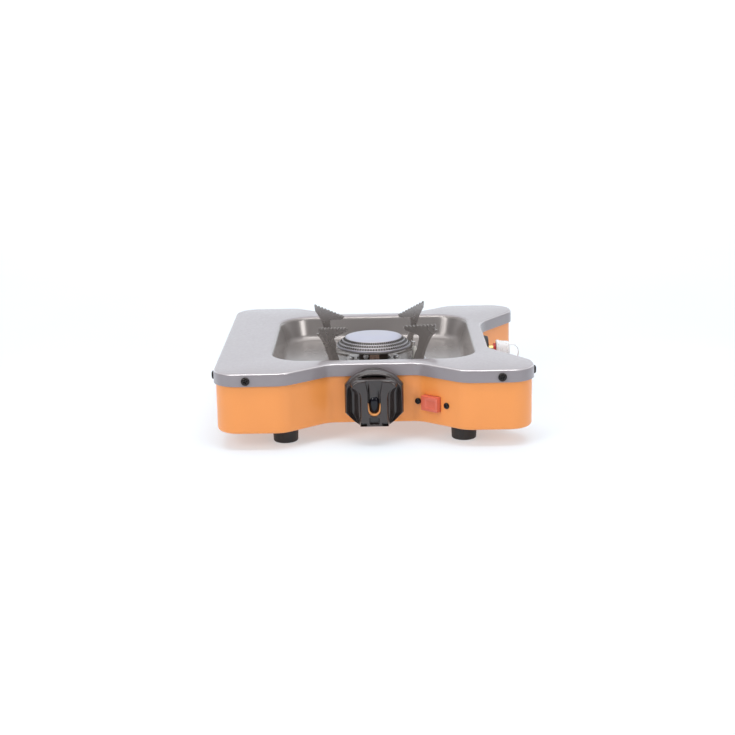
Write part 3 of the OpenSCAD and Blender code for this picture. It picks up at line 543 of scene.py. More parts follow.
def bevelled(obj, width, segments=2, angle=35):
    bevel = obj.modifiers.new("bevel", "BEVEL")
    bevel.width = width * MM
    bevel.segments = segments
    bevel.limit_method = "ANGLE"
    bevel.angle_limit = math.radians(angle)
    bevel.harden_normals = False
    return apply_modifiers(obj)


def cut(obj, shape, operation="DIFFERENCE"):
    cutter = raw_object("cutter", shape)
    boolean = obj.modifiers.new("cut", "BOOLEAN")
    boolean.operation = operation
    boolean.solver = "EXACT"
    boolean.object = cutter
    apply_modifiers(obj)
    bpy.data.objects.remove(cutter)
    return obj


def softened(obj, voxel, rounds=6, keep=0.5):
    """Melts overlapping parts into one moulded skin with rounded edges."""
    remesh = obj.modifiers.new("voxels", "REMESH")
    remesh.mode = "VOXEL"
    remesh.voxel_size = voxel * MM
    smooth = obj.modifiers.new("smooth", "SMOOTH")
    smooth.factor = 0.5
    smooth.iterations = rounds
    thin = obj.modifiers.new("thin", "DECIMATE")
    thin.ratio = keep
    return apply_modifiers(obj)


def finished(obj, body, slot, replaces=(), sharp=32):
    """Gives a piece its material and shading, hangs it on its body and hides the CAD nodes that it stands
    for.
    """
    mesh = obj.data
    mesh.materials.clear()
    mesh.materials.append(MATERIALS[slot])
    mesh.shade_smooth()
    mesh.set_sharp_from_angle(angle=math.radians(sharp))
    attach(obj, body)
    if replaces:
        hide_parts(*replaces)
    return obj


# ---------------------------------------------------------------- outline of plate and case
def unit(v):
    return v / v.length


def left_of(v):
    return Vector((-v.y, v.x))


def edge_way(corners, i):
    count = len(corners)
    a, b = corners[i % count], corners[(i + 1) % count]
    return unit(Vector((b[0] - a[0], b[1] - a[1])))


def bend_at(corners, i):
    u, v = edge_way(corners, i - 1), edge_way(corners, i)
    return math.atan2(u.x * v.y - u.y * v.x, u.dot(v))


def inset_corners(d):
    moved = []
    for i, (x, y, r) in enumerate(CORNERS):
        m, n = left_of(edge_way(CORNERS, i - 1)), left_of(edge_way(CORNERS, i))
        p = Vector((x, y)) + d * (m + n) / (1 + m.dot(n))
        moved.append((p.x, p.y, r - math.copysign(d, bend_at(CORNERS, i))))
    return moved


def arc_point(corners, i, share):
    """A point on corner i's fillet, and the wall's outward normal there."""
    x, y, r = corners[i]
    a, u = bend_at(corners, i), edge_way(corners, i - 1)
    side = math.copysign(1, a)
    start = Vector((x, y)) - r * math.tan(abs(a) / 2) * u
    middle = start + side * r * left_of(u)
    spoke = left_of(u)
    spoke.rotate(Matrix.Rotation(a * share, 2))
    return middle - side * r * spoke, -spoke


def outline(d):
    corners = inset_corners(d)
    return [arc_point(corners, i, k / ARC_STEPS)[0]
            for i in range(len(corners)) for k in range(ARC_STEPS + 1)]


def outline_ring(d, z):
    return [(p.x, p.y, z) for p in outline(d)]


def coloured(obj, material, faces):
    """Gives some faces a second finish."""
    obj.data.materials.append(MATERIALS[material])
    for face in faces:
        face.material_index = len(obj.data.materials) - 1


def rounded_square(half, r, z, cx=0.0, cy=0.0, steps=12):
    ring = []
    for q in range(4):
        middle = ((half - r) * (1, -1, -1, 1)[q], (half - r) * (1, 1, -1, -1)[q])
        for k in range(steps + 1):
            a = math.radians(90 * (q + k / steps))
            ring.append((cx + middle[0] + r * math.cos(a), cy + middle[1] + r * math.sin(a), z))
    return ring


def circle_ring(cx, cy, r, z, steps=32):
    return [(cx + x, cy + y, z) for x, y in circle(r, steps)]


def filled(obj, rings):
    """Fills the flat area between closed rings of points, and welds it to the mesh's own points."""
    work = bmesh.new()
    work.from_mesh(obj.data)
    edges = []
    for ring in rings:
        points = [work.verts.new(Vector(p) * MM) for p in ring]
        edges += [work.edges.new((points[k], points[(k + 1) % len(points)]))
                  for k in range(len(points))]
    bmesh.ops.triangle_fill(work, edges=edges, use_beauty=True)
    bmesh.ops.remove_doubles(work, verts=work.verts, dist=1e-7)
    bmesh.ops.recalc_face_normals(work, faces=work.faces)
    work.to_mesh(obj.data)
    work.free()
    return obj


# ---------------------------------------------------------------- plate and case
EDGE_R = 2.2
RIM_R = 5.0
FILLET_R = 8.0


def pan_profile():
    """How the pan's section runs, as (offset from the rim's line, height)."""
    lean = math.atan2(PAN_LEAN, PAN_DEPTH)
    turn = math.pi / 2 - lean
    rim_start = RIM_R * math.tan(turn / 2)
    floor_end = FILLET_R * math.tan(turn / 2)
    path = []
    for k in range(9):
        a = turn * k / 8
        path.append((rim_start - RIM_R * math.sin(a), PLATE_Z - RIM_R + RIM_R * math.cos(a)))
    for k in range(9):
        a = turn * (1 - k / 8)
        path.append((-PAN_LEAN - floor_end + FILLET_R * math.sin(a),
                     PAN_FLOOR + FILLET_R - FILLET_R * math.cos(a)))
    return path


def make_plate():
    shape = Shape()
    rings = [outline_ring(0.0, PLATE_Z - SKIRT_H)]
    for c, s in quarter(6):
        rings.append(outline_ring(EDGE_R * (1 - c), PLATE_Z - EDGE_R + EDGE_R * s))
    shape.skin(rings)
    pan = [rounded_square(PAN_HALF + s, PAN_R + s, z, cy=BURNER_Y) for s, z in pan_profile()]
    shape.skin(pan)
    plate = raw_object("top_plate_sheet", shape)
    filled(plate, [rings[-1], pan[0]])
    filled(plate, [pan[-1]])
    thickened(plate, SHEET)
    finished(plate, "stove", "plate_paint", ["top_plate"], sharp=40)
    coloured(plate, "pan_gloss", [face for face in plate.data.polygons
                                  if abs(face.center.x) < (PAN_HALF + 2) * MM
                                  and abs(face.center.y - BURNER_Y * MM) < (PAN_HALF + 2) * MM
                                  and face.center.z < (PLATE_Z - 1.2) * MM])
    # Painted highlight: the bend of the top edge outside the pan gets the lighter colour.
    coloured(plate, "plate_edge_painted_highlight", [face for face in plate.data.polygons
                                   if face.center.z > (PLATE_Z - EDGE_R) * MM
                                   and 0.5 < face.normal.z < 0.88
                                   and max(abs(face.center.x), abs(face.center.y - BURNER_Y * MM))
                                   > (PAN_HALF + 4) * MM])
    return plate


CASE_EDGE_R = 3.5
WINDOW_W = 19.6
WINDOW_H = 14.8
VENTS = [(x, -62.0, 3.5) for x in (-24, -12, 0, 12, 24)]


def make_case(button_frame):
    shape = Shape()
    rings = [outline_ring(CASE_INSET, PLATE_Z - SHEET), outline_ring(CASE_INSET, CASE_BOTTOM + CASE_EDGE_R)]
    for c, s in quarter(6, 1):
        rings.append(outline_ring(CASE_INSET + CASE_EDGE_R * (1 - c),
                                  CASE_BOTTOM + CASE_EDGE_R - CASE_EDGE_R * s))
    shape.skin(rings)
    case = raw_object("case_sheet", shape)
    filled(case, [rings[-1]] + [circle_ring(x, y, r, CASE_BOTTOM) for x, y, r in VENTS])
    thickened(case, SHEET)
    window = Shape().block((-WINDOW_W / 2, -WINDOW_H / 2, -4), (WINDOW_W / 2, WINDOW_H / 2, 4))
    cut(case, window.placed(button_frame))
    return finished(case, "stove", "case_paint", ["case"], sharp=40)


# ---------------------------------------------------------------- fasteners
def screw_head(r, h, turn=20.0, steps=48):
    """A pan head with a cross recess, standing on z = 0."""
    profile = [(0.0, 0.0), (r * 0.97, 0.0), (r, 0.12 * h), (r, 0.35 * h)]
    for c, s in quarter(8, 1):
        profile.append((r * (0.45 + 0.55 * c), h * (0.35 + 0.65 * s)))
    profile.append((0.0, h))
    head = raw_object("screw_head", Shape().lathe(profile, steps))
    half_w, half_l = r * 0.13, r * 0.58
    low_w, low_l = half_w * 0.6, half_l * 0.55
    for angle in (turn, turn + 90):
        arm = Shape().skin([rectangle(-low_l, -low_w, low_l, low_w, h * 0.3),
                            rectangle(-half_l, -half_w, half_l, half_w, h * 1.2)], first=True, last=True)
        cut(head, arm.placed(Matrix.Rotation(math.radians(angle), 4, "Z")))
    mesh = head.data
    shape = Shape().add([tuple(v.co / MM) for v in mesh.vertices],
                        [tuple(p.vertices) for p in mesh.polygons])
    bpy.data.objects.remove(head)
    return shape


def copies(name, shape, frames):
    joined = Shape()
    for matrix in frames:
        joined.join(Shape().add(shape.points, shape.faces).placed(matrix))
    return raw_object(name, joined)


PLATE_SCREW_Z = PLATE_Z - 6.8
PLATE_SCREW_X = 118.5
PLATE_SCREW_Y = 120.0


def make_plate_screws():
    frames = []
    for x in (-PLATE_SCREW_X, PLATE_SCREW_X):
        for way in (-1, 1):
            frames.append(facing((x, way * HALF_D, PLATE_SCREW_Z), (0, way, 0)))
    for way in (-1, 1):
        frames.append(facing((way * HALF_W, -PLATE_SCREW_Y, PLATE_SCREW_Z), (way, 0, 0)))
    screws = copies("plate_screw_heads", screw_head(4.0, 2.2), frames)
    return finished(screws, "stove", "black_screw", ["plate_screws"])


def make_foot(name):
    low, high = box_mm(name)
    cx, cy, r, h = (low.x + high.x) / 2, (low.y + high.y) / 2, (high.x - low.x) / 2, high.z
    profile = [(5.0, 6.0), (5.0, 0.6), (5.5, 0.0), (r - 2.4, 0.0)]
    for c, s in quarter(6, 1):
        profile.append((r - 2.4 + 1.6 * s, 1.6 * (1 - c)))
    profile += [(r - 0.25, h - 4.2), (r - 0.6, h - 3.9), (r - 0.6, h - 3.3), (r, h - 2.9),
                (r, h - 0.4), (r - 0.4, h), (2.1, h), (2.1, 6.0)]
    foot = raw_object(name + "_rubber", Shape().lathe(profile, 64, closed=True).placed(
        Matrix.Translation((cx, cy, 0))))
    return finished(foot, "stove", "foot_rubber", [name])


# ---------------------------------------------------------------- knob
KNOB_FRAME = facing((0, FRONT_WALL, KNOB_Z), FRONT)
KNOB_HALF = 27.7
KNOB_FLAT = 13.6
KNOB_BACK = 7.8
KNOB_FACE = 26.9
BEZEL_R = 26.4
CHANNEL_HALF = 5.9
CHANNEL_END = -8.8
DOME_MIDDLE = -4.2
DOME_HALF_H = 8.4


def knob_skirt():
    """The eight-sided skirt: its top side is arched and its front edge rounded over."""
    side = [(KNOB_FLAT, -KNOB_HALF), (KNOB_HALF, -KNOB_FLAT)] + curve_through(
        [(KNOB_HALF, KNOB_FLAT - 0.4), (22.6, 18.6), (17.8, 22.4), (12.0, 24.9), (6.0, 26.0), (0.01, 26.25)])
    rings = []
    for share, z in ((0.985, KNOB_BACK), (1.0, KNOB_BACK + 1), (1.0, 14.4), (0.985, 16.3), (0.955, 18.0),
                     (0.925, 19.0), (0.90, 19.3)):
        rings.append([(x * share, y * share, z) for x, y in both_sides(side)])
    return Shape().skin(rings, first=True, last=True)


# The scoops' walls and depth along the knob's height, and their section from wall to rim.
SCOOP_START = -30
SCOOP_END = 13.6
SCOOP_STEPS = 29
SCOOP_IN = [(-30, 13.3), (4, 13.3), (8, 14.4), (11.5, 17.4), (13.6, 21.0)]
SCOOP_OUT = [(-30, 12.0), (-24, 18.0), (-14.6, 25.6), (-12, 25.8), (10, 25.8), (13.6, 24.6)]
SCOOP_DEPTH = [(-30, 10.8), (-18, 11.6), (-6, 12.0), (6, 12.8), (11, 15.0), (13.6, 19.0)]
SCOOP_FORM = [(-0.03, 16.0), (0.03, 11.0), (0.13, 6.6), (0.26, 3.0), (0.42, 0.8), (0.58, 0.2), (0.74, 1.4),
              (0.88, 3.8), (0.98, 6.0), (1.12, 7.8), (1.6, 8.6)]


def scoop(side):
    """One finger scoop: a hollow between the grip bar and the skirt's edge, open at its lower end."""
    rings = []
    for k in range(SCOOP_STEPS + 1):
        y = SCOOP_START + (SCOOP_END - SCOOP_START) * k / SCOOP_STEPS
        near, far = eased(SCOOP_IN, y), eased(SCOOP_OUT, y)
        far = max(far, near + 0.8)
        low = eased(SCOOP_DEPTH, y)
        line = [(side * (near + (far - near) * u), y, min(low + h, 30.0)) for u, h in SCOOP_FORM]
        line += [(side * 34, y, 30.5), (side * near, y, 30.5)]
        rings.append(line)
    return Shape().skin(rings, first=True, last=True)


def grip_shape():
    """The grip bar: straight sides that flare into two wings towards the top."""
    side = [(13.5, -25.4), (13.2, -16), (13.1, 3), (13.9, 7), (15.8, 10), (18.6, 12.2), (21.9, 13.6),
            (21.6, 15.6), (19.4, 18.0), (16.4, 19.6), (11.0, 20.2), (5.5, 20.4)]
    rings = []
    for share, z in ((1.03, 9.0), (1.01, 19.5), (0.99, 23.4), (0.965, 25.2), (0.93, 26.3), (0.885, 26.8),
                     (0.85, KNOB_FACE)):
        rings.append([(x * share, y * (0.35 + 0.65 * share), z) for x, y in both_sides(side)])
    return Shape().skin(rings, first=True, last=True)


def pointer_channel():
    """The pointer's channel: a ramp from the top of the face down to a deep round end."""
    arc = [(CHANNEL_HALF * math.cos(a), CHANNEL_END + CHANNEL_HALF * math.sin(a))
           for a in (math.radians(b) for b in range(180, 361, 12))]
    loop = arc + [(CHANNEL_HALF, 7.0), (6.6, 11.0), (8.6, 23.0),
                  (-8.6, 23.0), (-6.6, 11.0), (-CHANNEL_HALF, 7.0)]
    floor = [(-40, 20.8), (3.0, 20.8), (9.0, 22.4), (20.0, 26.3), (40, 26.8)]
    return Shape().skin([[(x, y, eased(floor, y)) for x, y in loop], [(x, y, 32.0) for x, y in loop]],
                        first=True, last=True)


def make_knob():
    body = raw_object("knob_moulding", knob_skirt())
    for side in (-1, 1):
        cut(body, scoop(side))
    slit = [(-12.8, 18.6), (12.8, 18.6), (11.2, 21.6), (6.0, 22.7), (0, 23.0), (-6.0, 22.7), (-11.2, 21.6)]
    cut(body, Shape().extrude(slit, 11.5, 24.0))
    cut(body, grip_shape(), "UNION")
    cut(body, pointer_channel())
    cut(body, Shape().block((-4.4, -22.4, 22.0), (4.4, -15.8, 30.0)))
    for side in (-1, 1):
        low_x, high_x = sorted((side * 7.2, side * 12.9))
        cut(body, Shape().block((low_x, -24.4, 21.0), (high_x, -20.9, 30.0)))
    softened(body, 0.36, rounds=5, keep=0.3)
    cut(body, Shape().lathe([(0.0, 0.0), (3.0, 0.0), (3.0, 19.0), (0.0, 19.0)], 32))
    placed_mesh(body, KNOB_FRAME)
    return finished(body, "knob", "knob_plastic", ["knob"], sharp=60)


def make_inlay():
    """The orange U round the dome's lower end: it thins out towards its two upper ends."""
    outer, inner = CHANNEL_HALF - 0.02, CHANNEL_HALF - 1.35
    spots = [(-outer, -3.0, 0.35), (-outer, -5.0, 0.8), (-outer, CHANNEL_END + 1, 1.2)]
    path = []
    for x, y, w in spots:
        path.append(((x, y), (x + w, y)))
    for k in range(17):
        a = math.pi * (1 + k / 16)
        path.append(((outer * math.cos(a), CHANNEL_END + outer * math.sin(a)),
                     (inner * math.cos(a), CHANNEL_END + inner * math.sin(a) * 0.94)))
    for x, y, w in reversed(spots):
        path.append(((-x, y), (-x - w, y)))
    rings = []
    for (ax, ay), (bx, by) in path:
        rings.append([(ax, ay, 20.8), (ax, ay, 24.3), (ax * 0.85 + bx * 0.15, ay * 0.85 + by * 0.15, 24.6),
                      (ax * 0.2 + bx * 0.8, ay * 0.2 + by * 0.8, 24.4), (bx, by, 24.0), (bx, by, 20.8)])
    shape = Shape().skin(rings, first=True, last=True)
    inlay = raw_object("knob_pointer_trim", shape.placed(KNOB_FRAME))
    return finished(inlay, "knob", "inlay_plastic", ["knob_inlay"])


def make_dome():
    """The polished black dome, wide at its upper end and narrow in the U."""
    rings = []
    for share, height in quarter(10):
        ring = []
        for j in range(64):
            b = 2 * math.pi * j / 64
            lift = 0.5 + 0.5 * math.sin(b)
            half = 4.35 + 0.95 * lift
            x = half * math.cos(b) * max(share, 0.002)
            y = DOME_MIDDLE + DOME_HALF_H * math.sin(b) * max(share, 0.002)
            bulge = 2.1 + 1.5 * eased([(-13, 0), (4.5, 1)], y)
            ring.append((x, y, 21.8 + bulge * height))
        rings.append(ring)
    rings.insert(0, [(x, y, 20.8) for x, y, _ in rings[0]])
    shape = Shape().skin(rings, first=True, last=True)
    dome = raw_object("knob_pointer_dome", shape.placed(KNOB_FRAME))
    return finished(dome, "knob", "dome_plastic", ["knob_dome"], sharp=60)


def make_bezel():
    r = BEZEL_R
    profile = [(9.6, 1.0), (15.8, 1.0), (15.8, 0.0), (17.2, 0.0), (17.2, 2.2), (r - 0.4, 2.2),
               (r, 2.6), (r, 5.9), (r - 0.35, 6.6), (r - 1.2, 7.0), (r - 2.2, 6.7), (r - 2.8, 5.4),
               (9.6, 5.4)]
    bezel = raw_object("knob_bezel_ring", Shape().lathe(profile, 128, closed=True).placed(KNOB_FRAME))
    return finished(bezel, "stove", "bezel_plastic", ["knob_bezel"])


# ---------------------------------------------------------------- burner
PORTS = 84
PORT_ROWS = 3
PORT_R = 0.92
PORT_SHARE = 0.44
CAP_WALL = 0.8
CAP_RIM_Z = BURNER_LOW.z
CAP_R = BURNER_HIGH.x
CAP_TOP_R = 28.2
CAP_TOP_Z = BURNER_HIGH.z
CAP_DOME = 0.8
CAP_CROWN_R = 27.6


def around(r, angle, z):
    return (r * math.cos(angle), BURNER_Y + r * math.sin(angle), z)


def port_row(shape, low, high, shift):
    """One row of gas ports in the sloping side, from the point low to the point high (radius, height)."""
    slope = Vector((high[0] - low[0], high[1] - low[1]))
    width = slope.length
    inward = Vector((-slope.y, slope.x)) / width
    step = 2 * math.pi / PORTS

    def at(angle, v, depth=0.0):
        r = low[0] + slope.x * v + inward.x * depth
        z = low[1] + slope.y * v + inward.y * depth
        return around(r, angle, z)

    mean_r = (low[0] + high[0]) / 2
    for k in range(PORTS):
        middle = (k + shift) * step
        points = []
        for j in range(8):
            a = math.pi / 4 * j
            u = max(-1, min(1, math.sqrt(2) * math.cos(a))) * step / 2
            v = 0.5 + max(-1, min(1, math.sqrt(2) * math.sin(a))) * 0.5
            points.append(at(middle + u, v))
        for depth in (0.0, CAP_WALL):
            for j in range(8):
                a = math.pi / 4 * j
                points.append(at(middle + PORT_R * math.cos(a) / mean_r, 0.5 + PORT_SHARE * math.sin(a),
                                 depth))
        # The ring round each port goes in band for the painted darker side, and the port's wall goes in dark
        # for painted shade.
        faces = []
        for j in range(8):
            n = (j + 1) % 8
            faces.append((j, n, 8 + n, 8 + j))
            faces.append((8 + j, 8 + n, 16 + n, 16 + j))
            shape.dark += [len(shape.faces) + len(faces) - 1]
        shape.band += range(len(shape.faces), len(shape.faces) + len(faces), 2)
        shape.add(points, faces)


def ring_of(r, z, shift=0.0):
    count = 2 * PORTS
    return [around(r, math.pi * (k + 2 * shift) / PORTS, z) for k in range(count)]


def make_burner_cap():
    """The perforated cap. The walls of its ports and its inside are painted near-black as shade, and its
    sloping side is painted a darker steel as shade.
    """
    shape = Shape()
    row_r = (CAP_R - CAP_TOP_R) / PORT_ROWS
    shoulder = CAP_TOP_Z - CAP_RIM_Z - CAP_DOME
    lip = 0.9
    row_h = (shoulder - lip) / PORT_ROWS
    shape.skin([ring_of(CAP_R - CAP_WALL, CAP_RIM_Z), ring_of(CAP_R - 0.15, CAP_RIM_Z),
                ring_of(CAP_R, CAP_RIM_Z + 0.2), ring_of(CAP_R - 0.1, CAP_RIM_Z + lip)])
    previous = (CAP_R - 0.1, CAP_RIM_Z + lip)
    for row in range(PORT_ROWS):
        low = (previous[0] - 0.25, previous[1] + 0.12)
        high = (CAP_R - row_r * (row + 1) + 0.3, CAP_RIM_Z + lip + row_h * (row + 1))
        shape.skin([ring_of(*previous), ring_of(*low)])
        port_row(shape, low, high, 0.5 * (row % 2))
        previous = high
    crown = [previous, (CAP_CROWN_R, previous[1] + 0.3)]
    for k in range(1, 9):
        u = 1 - k / 8
        crown.append((max(0.0, CAP_CROWN_R * u), crown[1][1] + (CAP_TOP_Z - crown[1][1]) * (1 - u * u)))
    shape.skin([ring_of(r, z) for r, z in crown])
    inside = [(0.0, CAP_TOP_Z - 1.1), (CAP_TOP_R - 2.0, CAP_TOP_Z - 2.2), (CAP_R - 2.2, CAP_RIM_Z + 0.9),
              (CAP_R - CAP_WALL, CAP_RIM_Z)]
    # Painted shade: the cap's inside gets the near-black colour too.
    first_inside = len(shape.faces)
    shape.skin([ring_of(r, z) for r, z in inside])
    shape.dark += range(first_inside, len(shape.faces))
    cap = raw_object("burner_cap_pressing", shape)
    finished(cap, "stove", "cap_steel", ["burner_cap"], sharp=25)
    # Painted shade: near-black on the port walls and inside, a darker steel on the sloping side.
    for material, chosen in (("port_painted_shade", shape.dark), ("cap_side_painted_shade", shape.band)):
        middles = {tuple(round(c, 1) for c in shape.middle(i)) for i in chosen}
        coloured(cap, material, [face for face in cap.data.polygons
                                 if tuple(round(c / MM, 1) for c in face.center) in middles])
    return cap


def make_burner_cup():
    low, high = box_mm("burner_cup")
    rim, z0, z1 = high.x, low.z, high.z
    profile = [(7.0, z0), (16.0, z0), (17.5, z0 + 0.2), (rim - 5, z1 - 3.4), (rim - 2.0, z1 - 2.4),
               (rim - 0.4, z1 - 1.7), (rim, z1 - 1.1), (rim, z1 - 0.2), (rim - 0.2, z1), (rim - 1.0, z1),
               (rim - 1.1, z1 - 0.8), (rim - 3.0, z1 - 1.5), (17.0, z0 + 1.1), (7.0, z0 + 1.0)]
    cup = raw_object("burner_cup_pressing", Shape().lathe(profile, 128, closed=True).placed(ON_BURNER))
    return finished(cup, "stove", "cup_steel", ["burner_cup"])


def make_burner_neck():
    low, high = box_mm("burner_neck")
    z0, z1 = low.z, high.z
    profile = [(7.0, z0), (14.4, z0), (15.0, z0 + 0.6), (15.0, z0 + 5.6), (14.2, z0 + 6.3), (14.2, z0 + 7.2),
               (15.0, z0 + 7.8), (15.0, z1), (7.0, z1)]
    neck = raw_object("burner_neck_casting", Shape().lathe(profile, 96, closed=True).placed(ON_BURNER))
    cut(neck, Shape().block((-20, BURNER_Y - 25, z0 - 1), (20, BURNER_Y - 13.5, z1 + 1)))
    return finished(bevelled(neck, 0.2), "stove", "neck_iron", ["burner_neck"])


def make_burner_tab():
    low, high = box_mm("burner_tab")
    tab = Shape().block(tuple(low), tuple(high))
    piece = raw_object("burner_tab_strip", tab)
    middle = (low.x + high.x) / 2
    for x in (middle - 2.6, middle + 2.6):
        cut(piece, Shape().block((x - 0.35, low.y - 1, low.z - 1), (x + 0.35, low.y + 0.6, high.z + 1)))
    return finished(bevelled(piece, 0.22), "stove", "tab_copper", ["burner_tab"])


def make_burner_screw():
    low, high = box_mm("burner_screw")
    head = screw_head(2.7, 2.0, turn=35)
    at = ((low.x + high.x) / 2, low.y + 2.0, (low.z + high.z) / 2)
    screw = copies("burner_screw_head", head, [facing(at, FRONT)])
    return finished(screw, "stove", "bright_screw", ["burner_screw"])


# ---------------------------------------------------------------- pan supports
SUPPORT_TURN = 4.0
SUPPORT_R = 81.0
SUPPORT_TOP = CAD_BOX[1][2] / MM
SUPPORT_IN = 40.0
SUPPORT_IN_DROP = 7.0
SUPPORT_SHEET = 1.5
SUPPORT_TEETH = 9
TOOTH_H = 1.4
FLANGE_W = 4.2
SUPPORT_FOOT = PAN_FLOOR + SUPPORT_SHEET


def tooth_edge():
    """The saw-toothed top edge: each tooth rises to a round tip and falls into a narrow gap."""
    form = ((0.0, 0.55), (0.10, 0.12), (0.28, 0.0), (0.46, 0.12), (0.58, 0.55), (0.66, 1.0), (0.84, 1.0),
            (0.92, 0.9))
    edge = [(SUPPORT_R, SUPPORT_TOP - 0.4), (SUPPORT_R - 0.4, SUPPORT_TOP)]
    for k in range(SUPPORT_TEETH):
        for s, drop in form:
            u = (k + s) / SUPPORT_TEETH
            if u > 0.02:
                edge.append((SUPPORT_R - (SUPPORT_R - SUPPORT_IN) * u,
                             SUPPORT_TOP - SUPPORT_IN_DROP * u - drop * TOOTH_H))
    return edge


def inner_edge():
    z, t = PAN_FLOOR, SUPPORT_TOP - SUPPORT_IN_DROP
    return [(SUPPORT_IN, t)] + curve_through(
        [(SUPPORT_IN + 0.2, t - 1.2), (41.4, t - 3.0), (43.6, t - 4.3), (50, t - 5.4), (57.2, t - 6.5)]
    ) + curve_through([(59.6, t - 7.4), (60.3, t - 9), (60.1, t - 11), (59.4, t - 14), (58, z + 20),
                       (55, z + 14.5), (53, z + 9.5), (52.5, z + 5), (52.5, SUPPORT_FOOT)])


def outer_edge():
    z = PAN_FLOOR
    return curve_through([(61, SUPPORT_FOOT), (61.6, z + 5), (62.8, z + 11), (65.5, z + 18.5),
                          (68.8, z + 25.5), (72.5, z + 32), (76.5, z + 36.5), (SUPPORT_R - 0.8, z + 40.5)])


def make_support(name, k, side):
    """One folded support: a toothed blade with a flange turned back along its outer edge."""
    angle = 45 + SUPPORT_TURN + 90 * k
    place = ON_BURNER @ Matrix.Rotation(math.radians(angle), 4, "Z")
    half = SUPPORT_SHEET / 2
    blade = Shape().extrude(tooth_edge() + inner_edge() + outer_edge(), 0, SUPPORT_SHEET)
    arm = raw_object(name + "_sheet", blade.placed(facing((0, half, 0), FRONT)))
    edge = outer_edge()
    strip = edge + [(r - SUPPORT_SHEET, z + 0.4) for r, z in reversed(edge)]
    flange = Shape().extrude(strip, 0, FLANGE_W).placed(facing((0, (side + 1) * FLANGE_W / 2, 0), FRONT))
    cut(arm, flange, "UNION")
    bevelled(arm, 0.12, 1, 50)
    placed_mesh(arm, place)
    return finished(arm, "stove", "support_steel", [name], sharp=18)


def make_support_base():
    """A ring with four legs whose edges and ends are rounded."""
    z0, z1 = PAN_FLOOR, SUPPORT_FOOT
    outer_r, inner_r, half, reach = 28.0, 17.0, 6.0, 64.0
    loop = []
    swing = math.degrees(math.asin(half / outer_r))
    for k in range(4):
        middle = 45 + SUPPORT_TURN + 90 * k
        turn = Matrix.Rotation(math.radians(middle), 2)
        for x, y in [(reach - 4, -half), (reach - 1.2, -half + 1.2), (reach, -half + 4),
                     (reach, half - 4), (reach - 1.2, half - 1.2), (reach - 4, half)]:
            loop.append(tuple(turn @ Vector((x, y))))
        for j in range(13):
            a = math.radians(middle + swing + (90 - 2 * swing) * j / 12)
            loop.append((outer_r * math.cos(a), outer_r * math.sin(a)))
    base = raw_object("support_base_plate", Shape().extrude(loop, z0, z1).placed(ON_BURNER))
    hole = Shape().lathe([(0, z0 - 1), (inner_r, z0 - 1), (inner_r, z1 + 1), (0, z1 + 1)], 64)
    cut(base, hole.placed(ON_BURNER))
    return finished(bevelled(base, 0.25), "stove", "support_steel", ["support_base"])


def make_support_screws():
    head = screw_head(2.8, 1.9, turn=10)
    frames = []
    for k in range(4):
        a = math.radians(90 + SUPPORT_TURN + 90 * k)
        at = (22.5 * math.cos(a), BURNER_Y + 22.5 * math.sin(a), SUPPORT_FOOT)
        frames.append(basis(at, (1, 0, 0), (0, 1, 0), UP))
    screws = copies("support_screw_heads", head, frames)
    return finished(screws, "stove", "bright_screw", ["support_screws"])


# ---------------------------------------------------------------- igniter
BUTTON_W = 18.8
BUTTON_H = 14.0
BUTTON_OUT = 5.6
BUTTON_ALONG = 15.5
BUTTON_Z = 37.5
SCREW_FAR = 16.8
FLANGE_BACK = 3.5
HOUSING_BACK = 12.5
SPRING_R = 5.2
SPRING_WIRE = 0.8
SPRING_TURNS = 4


def button_frame():
    corner = inset_corners(CASE_INSET)[RECESS_CORNER]
    way = edge_way(CORNERS, RECESS_CORNER)
    at = Vector((corner[0], corner[1])) + BUTTON_ALONG * way
    out = -left_of(way)
    return facing((at.x, at.y, BUTTON_Z), (out.x, out.y, 0))


def make_button(place):
    w, h = BUTTON_W / 2, BUTTON_H / 2
    button = raw_object("igniter_button_cap", Shape().block((-w, -h, -3.0), (w, h, BUTTON_OUT)))
    recess = [rectangle(-w + 5.6, -h + 3.4, w - 3.1, h - 3.4, BUTTON_OUT - 0.55),
              rectangle(-w + 4.6, -h + 2.6, w - 2.1, h - 2.6, BUTTON_OUT + 0.5)]
    cut(button, Shape().skin(recess, first=True, last=True))
    bevelled(button, 0.55, 3, 30)
    flange = Shape().block((-w - 1.6, -h - 1.6, -3.5), (w + 1.6, h + 1.6, -2.3))
    cut(button, flange, "UNION")
    placed_mesh(button, place)
    return finished(button, "button", "button_plastic", ["igniter_button"])


def make_igniter_spring(place):
    """The coil between the housing and the button's flange."""
    length = HOUSING_BACK - FLANGE_BACK
    start, climb = 0.6 * SPRING_WIRE - HOUSING_BACK, length - 1.2 * SPRING_WIRE
    steps, sides = 24 * SPRING_TURNS, 8
    rings = []
    for k in range(steps + 1):
        share = k / steps
        turn = 2 * math.pi * SPRING_TURNS * share
        ring = []
        for s in range(sides):
            q = 2 * math.pi * s / sides
            r = SPRING_R + SPRING_WIRE / 2 * math.cos(q)
            ring.append((r * math.cos(turn), r * math.sin(turn),
                         start + climb * share + SPRING_WIRE / 2 * math.sin(q)))
        rings.append(ring)
    coil = raw_object("igniter_coil", Shape().skin(rings, first=True, last=True))
    placed_mesh(coil, place)
    finished(coil, "stove", "spring_steel", ["igniter_spring"])
    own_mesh(coil)
    return coil


